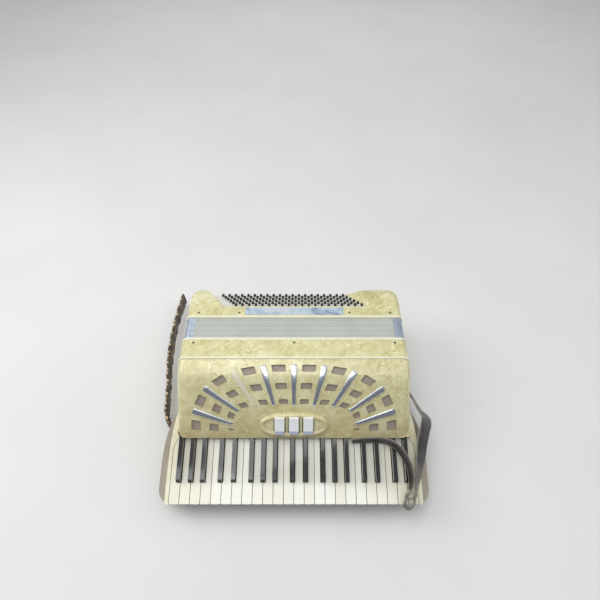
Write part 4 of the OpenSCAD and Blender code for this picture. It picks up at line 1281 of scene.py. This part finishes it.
lo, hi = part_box("bellows_strap_screws")
parts = []
for side in (-1, 1):
    centre = (side * (hi.x - 1.6 * MM), (lo.y + hi.y) / 2, (lo.z + hi.z) / 2)
    parts.append(screw_head(centre, (side, 0, 0), (hi.z - lo.z) / 2, 1.6 * MM, any_turn()))
    parts.append(lathe([(0.1 * MM, 0), (2 * MM, 0), (2 * MM, 4.5 * MM), (0.1 * MM, 4.5 * MM)],
                       (side * (HALF - 0.5 * MM), centre[1], centre[2]), (side, 0, 0), 16))
studs = join_parts("bellows_strap_studs", parts, chrome, "treble_side")
stand_in(studs, "bellows_strap_screws", 40)


# ---------- straps ----------

def catmull(stations, per_span):
    out = []
    n = len(stations)
    for i in range(n - 1):
        p0, p1 = stations[max(i - 1, 0)], stations[i]
        p2, p3 = stations[i + 1], stations[min(i + 2, n - 1)]
        for k in range(per_span):
            t = k / per_span
            out.append([0.5 * ((2 * b) + (-a + c) * t + (2 * a - 5 * b + 4 * c - d) * t * t
                               + (-a + 3 * b - 3 * c + d) * t ** 3)
                        for a, b, c, d in zip(p0, p1, p2, p3)])
    out.append(list(stations[-1]))
    return out


def ribbon_frames(stations, per_span=14):
    """Centre, width direction, normal, tangent and half width along the strap."""
    pts = catmull(stations, per_span)
    frames = []
    for i, p in enumerate(pts):
        a = Vector(pts[max(i - 1, 0)][:3])
        b = Vector(pts[min(i + 1, len(pts) - 1)][:3])
        tangent = (b - a).normalized()
        flat = tangent.cross(Vector((0, 0, 1)))
        flat = flat.normalized() if flat.length > 1e-6 else Vector((1, 0, 0))
        up = flat.cross(tangent).normalized()
        roll = math.radians(p[3])
        wide = flat * math.cos(roll) + up * math.sin(roll)
        frames.append((Vector(p[:3]) * MM, wide, wide.cross(tangent), tangent, p[4] / 2 * MM))
    return frames


def strap_section(quarter):
    """(across, out) points round a strap, from those between one edge and the middle of its face."""
    face = mirrored(quarter)
    return face + [(u, -v) for u, v in reversed(face[1:-1])]


def ribbon(name, stations, thickness, mat, body, node, pads=0.0, crown=0.35):
    """A strap along its stations; pads swells it into quilted lumps, each of its own size."""
    frames = ribbon_frames(stations, 48 if pads else 14)
    section = strap_section([(-1, 0), (-0.97, 0.6), (-0.85, 0.92), (-0.5, 1.0), (0, 1.0)])
    rings, rim_wear_and_glint = [], []
    run = 0.0
    for i, (c, wide, normal, _, half) in enumerate(frames):
        if i:
            run += (c - frames[i - 1][0]).length
        beat = run / (10.5 * MM) + 0.35 * math.sin(run / (31 * MM))
        lump = abs(math.sin(math.pi * beat)) ** 0.7
        size = 0.75 + 0.25 * math.sin(math.floor(beat) * 2.4)
        swell = pads * lump * size
        ring = []
        for u, v in section:
            bulge = 1 + crown * (1 - u * u)
            out = v * thickness / 2 * bulge * (0.8 + swell)
            lean = pads * 0.8 * MM * math.sin(math.floor(beat) * 1.7)
            ring.append(c + wide * (u * (half - 2.0 * MM * pads * (1 - lump))) + normal * (out + lean))
            # rim weight: edges for wear; with pads it grows on the lumps' tops as a painted highlight
            rim_wear_and_glint.append(max(abs(u) ** 6 * (1 if not pads else 0.2 + lump * size), 0.0))
        rings.append(ring)
    obj = loft(name, rings, mat, body)
    obj.data.attributes.new("rim", "FLOAT", "POINT").data.foreach_set("value", rim_wear_and_glint)
    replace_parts(obj, node)
    return frames


def stitches(name, frames, thickness, body, node, inset=2.2, spacing=4.2, length=2.4):
    """Short threads along both edges, on both faces."""
    parts = []
    gap = spacing * MM
    run, nxt = 0.0, gap
    for i in range(1, len(frames)):
        a, b = frames[i - 1], frames[i]
        seg = (b[0] - a[0]).length
        while nxt < run + seg:
            t = (nxt - run) / seg
            c = a[0].lerp(b[0], t)
            wide, normal = a[1].lerp(b[1], t).normalized(), a[2].lerp(b[2], t).normalized()
            tangent, half = a[3].lerp(b[3], t).normalized(), mix(a[4], b[4], t)
            for edge in (-1, 1):
                for face in (-1, 1):
                    at = c + wide * edge * (half - inset * MM) + normal * face * (thickness * 0.5)
                    parts.append(thread_piece(at, tangent, normal * face, length * MM))
            nxt += gap
        run += seg
    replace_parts(join_parts(name, parts, thread, body), node)


def thread_piece(at, along, out, length):
    side = along.cross(out).normalized()
    r = 0.42 * MM
    rings = []
    for t, s in ((-0.5, 0.35), (-0.34, 0.9), (0.0, 1.0), (0.34, 0.9), (0.5, 0.35)):
        for k in range(6):
            a = 2 * math.pi * k / 6
            rings.append(at + along * (t * length) + (side * math.cos(a) + out * math.sin(a)) * r * s)
    faces = grid_faces(5, 6, close_cols=True) + [tuple(range(6)), tuple(range(24, 30))]
    return rings, faces


STRAP_T = 4 * MM
# stations along each strap: x, y and z in mm, roll in degrees (90 stands on edge), width in mm
CHIN = [[-237, -66, 24, 90, 40], [-256, -104, 25, 90, 40], [-275, -88, 25, 90, 40], [-286, -16, 25, 88, 40],
        [-298, 76, 25, 92, 40], [-300, 168, 25, 88, 40], [-293, 250, 25, 92, 40]]
KNEE = [[238, -8, 30, 80, 34], [252, -46, 56, 66, 34], [258, -88, 80, 56, 32], [266, -116, 91, 42, 32],
        [258, -142, 97, 44, 32], [249, -167, 94, 42, 32], [244, -190, 88, 44, 30], [239, -211, 82, 52, 26],
        [235, -228, 78, 62, 22], [230, -245, 74, 74, 20], [225, -260, 70, 84, 18], [222, -273, 67, 88, 18],
        [213, -281, 66, 90, 18], [205, -274, 67, 88, 18], [210, -261, 73, 84, 18], [217, -247, 82, 70, 18],
        [219, -229, 91, 64, 18], [214, -208, 99, 64, 18], [203, -189, 105, 70, 19], [187, -175, 108, 76, 20],
        [165, -169, 109, 79, 20], [138, -169, 109, 81, 20], [112, -170, 108, 78, 17]]
ribbon("chin_strap", CHIN, STRAP_T, strap_wear_and_glints, "treble_side", "shoulder_strap_chin", pads=1.0)
frames = ribbon("knee_strap", KNEE, STRAP_T * 0.8, strap_leather, "treble_side", "shoulder_strap_knee")
stitches("knee_strap_stitching", frames, STRAP_T * 0.84, "treble_side", "shoulder_strap_knee")


def strap_tie():
    """Thin cord wound one and a half times round the two strands of the knee strap."""
    a, b = Vector((210, -261, 73)), Vector((225, -259, 70))
    centre, across = (a + b) / 2, (b - a) / 2
    rings, path = [], []
    steps, cord = 60, 1.0 * MM
    for i in range(steps + 1):
        t = 2 * math.pi * 1.5 * i / steps - 0.6
        reach = across * (1 + 4.2 / across.length) * math.cos(t)
        rise = Vector((0, 4.0 * math.sin(t) + 3.0 * i / steps, 11.5 * math.sin(t)))
        path.append((centre + reach + rise) * MM)
    for i, c in enumerate(path):
        along = (path[min(i + 1, steps)] - path[max(i - 1, 0)]).normalized()
        side = along.cross(Vector((0, 1, 0))).normalized()
        up = side.cross(along)
        rings.append([c + (side * math.cos(v) + up * math.sin(v)) * cord
                      for v in (2 * math.pi * k / 8 for k in range(8))])
    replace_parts(loft("knee_strap_tie", rings, thread, "treble_side"), "shoulder_strap_knee")


strap_tie()

# hand strap: bowed out from the cover, padded, with a sewn edge
lo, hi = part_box("bass_strap")
span = 150
mid_z = (lo.z + hi.z) / 2 / MM
base_y = lo.y / MM + 1.5
bow = 12
width = (hi.z - lo.z) / MM
hand = []
for i in range(17):
    u = -1 + 2 * i / 16
    x = u * (hi.x / MM - 0.6)
    v = min(max(x / span, -1), 1)
    y = base_y + bow * (1 - v * v) * (1 - v * v / 3)
    hand.append([x, y, mid_z, 90, width])
frames = ribbon("hand_strap", hand, 2.4 * MM, strap_leather, "bass_side", "bass_strap", crown=0.55)
stitches("hand_strap_stitching", frames, 2.5 * MM, "bass_side", "bass_strap", 3.5, 5.0, 3.0)

# bellows straps: flat leather tongues with round ends, hanging on their studs
for end, side in (("chin", -1), ("knee", 1)):
    node = f"bellows_strap_{end}"
    lo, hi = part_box(node)
    half = (hi.z - lo.z) / 2
    cz = (lo.z + hi.z) / 2
    cx = (lo.x + hi.x) / 2
    thick = hi.x - lo.x
    rings = []
    steps = 44
    for i in range(steps + 1):
        y = mix(lo.y + 0.02 * MM, hi.y - 0.02 * MM, 0.5 - 0.5 * math.cos(math.pi * i / steps))
        near = min(y - lo.y, hi.y - y)
        w = half if near > half else math.sqrt(max(half ** 2 - (half - near) ** 2, 0.0))
        edge = min(1, w / half + 0.1)
        ring = []
        for u, v in strap_section([(-1, 0), (-0.95, 0.7), (-0.8, 0.95), (-0.4, 1), (0, 1)]):
            ring.append(Vector((cx + side * v * thick / 2 * edge, y, cz + u * w)))
        rings.append(ring)
    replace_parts(loft(f"bellows_tongue_{end}", rings, strap_leather, node), node)
    line = [(Vector((cx, mix(lo.y + 10 * MM, hi.y - 10 * MM, i / 8), cz)),
             Vector((0, 0, 1)), Vector((1, 0, 0)), Vector((0, 1, 0)), half) for i in range(9)]
    stitches(f"bellows_tongue_{end}_stitching", line, thick, node, node, 2.0, 3.6, 2.2)

# felt under the white keys: a pressed strip with soft edges
lo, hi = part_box("keyboard_felt")
centre = (lo + hi) / 2
rings = []
for i in range(60):
    x = mix(lo.x, hi.x, i / 59)
    ring = []
    for k in range(16):
        a = 2 * math.pi * k / 16
        u, v = power(math.cos(a), 0.5) * 8.4 * MM, power(math.sin(a), 0.5) * 0.9 * MM
        ring.append(Vector((x, centre.y + u * math.cos(KEY_TILT) - v * math.sin(KEY_TILT),
                            centre.z + u * math.sin(KEY_TILT) + v * math.cos(KEY_TILT))))
    rings.append(ring)
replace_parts(loft("key_felt", rings, red_felt, "treble_side"), "keyboard_felt")


# ---------- floor, light and camera ----------

def floor():
    size = 6.0
    mesh = bpy.data.meshes.new("floor")
    corners = [(-size, -size, 0), (size, -size, 0), (size, size, 0), (-size, size, 0)]
    mesh.from_pydata(corners, [], [(0, 1, 2, 3)])
    obj = bpy.data.objects.new("floor", mesh)
    scene.collection.objects.link(obj)
    obj.location.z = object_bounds()[0][2] - 0.2 * MM
    m = Mat("floor_paint")
    m.colour(m.ramp(m.noise(3, 3), (0.3, (0.80, 0.80, 0.79)), (0.7, (0.84, 0.84, 0.83))))
    m.rough(m.noise(20, 2), 0.7, 0.85)
    mesh.materials.append(m.mat)
    obj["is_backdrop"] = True


floor()


def softbox(name, location, target, size, watts, colour):
    data = bpy.data.lights.new(name, "AREA")
    data.shape = "RECTANGLE"
    data.size, data.size_y = size
    data.energy = watts
    data.color = colour
    obj = bpy.data.objects.new(name, data)
    obj.location = location
    obj.rotation_euler = (Vector(target) - Vector(location)).to_track_quat("-Z", "Y").to_euler()
    scene.collection.objects.link(obj)


softbox("top_light", (-0.30, -0.10, 2.2), (0, 0, 0.1), (1.4, 0.9), 10, (1.0, 0.99, 0.97))
softbox("sheen_light", (-0.1, -1.02, 2.2), (0, -0.2, 0.1), (1.6, 0.30), 5, (0.97, 0.98, 1.0))
softbox("key_light", (-1.6, 0.2, 1.5), (0, 0, 0.1), (1.1, 1.1), 13, (1.0, 0.98, 0.95))
softbox("fill_light", (1.6, 0.0, 1.2), (0, 0, 0.1), (1.2, 1.2), 4, (0.94, 0.97, 1.0))
softbox("back_light", (0.2, 2.6, 1.1), (0, 0, 0.1), (2.4, 0.7), 5, (0.97, 0.98, 1.0))

# a studio sky, brighter upwards and towards the back
world = bpy.data.worlds.new("studio")
scene.world = world
sky = Nodes(world)
coord = sky.add("ShaderNodeTexCoord")
split = sky.add("ShaderNodeSeparateXYZ")
sky.link(coord.outputs["Generated"], split.inputs[0])
height = sky.math("ADD", *[sky.math("MULTIPLY", split.outputs[way], share)
                           for way, share in (("Z", 0.75), ("Y", 0.30))])
shade = sky.ramp(height, (0.0, (0.26, 0.27, 0.30)), (0.22, (0.34, 0.36, 0.40)),
                 (0.45, (0.58, 0.60, 0.64)), (0.72, (1.0, 1.0, 1.0)))
sky.put(world.node_tree.nodes["Background"], Color=shade, Strength=0.66)

# the photo's camera, placed in casing lengths
CAMERA_AT = (0.026, -1.133, 2.12)
CAMERA_TILT = 39.1
LENS = 27.3
camera_data = bpy.data.cameras.new("camera")
camera_data.sensor_width = 36
camera_data.lens = LENS
camera = bpy.data.objects.new("camera", camera_data)
camera.location = [v * 2 * HALF for v in CAMERA_AT]
camera.rotation_euler = (math.radians(CAMERA_TILT), 0, 0)
scene.collection.objects.link(camera)
scene.camera = camera
scene.view_settings.view_transform = "Standard"
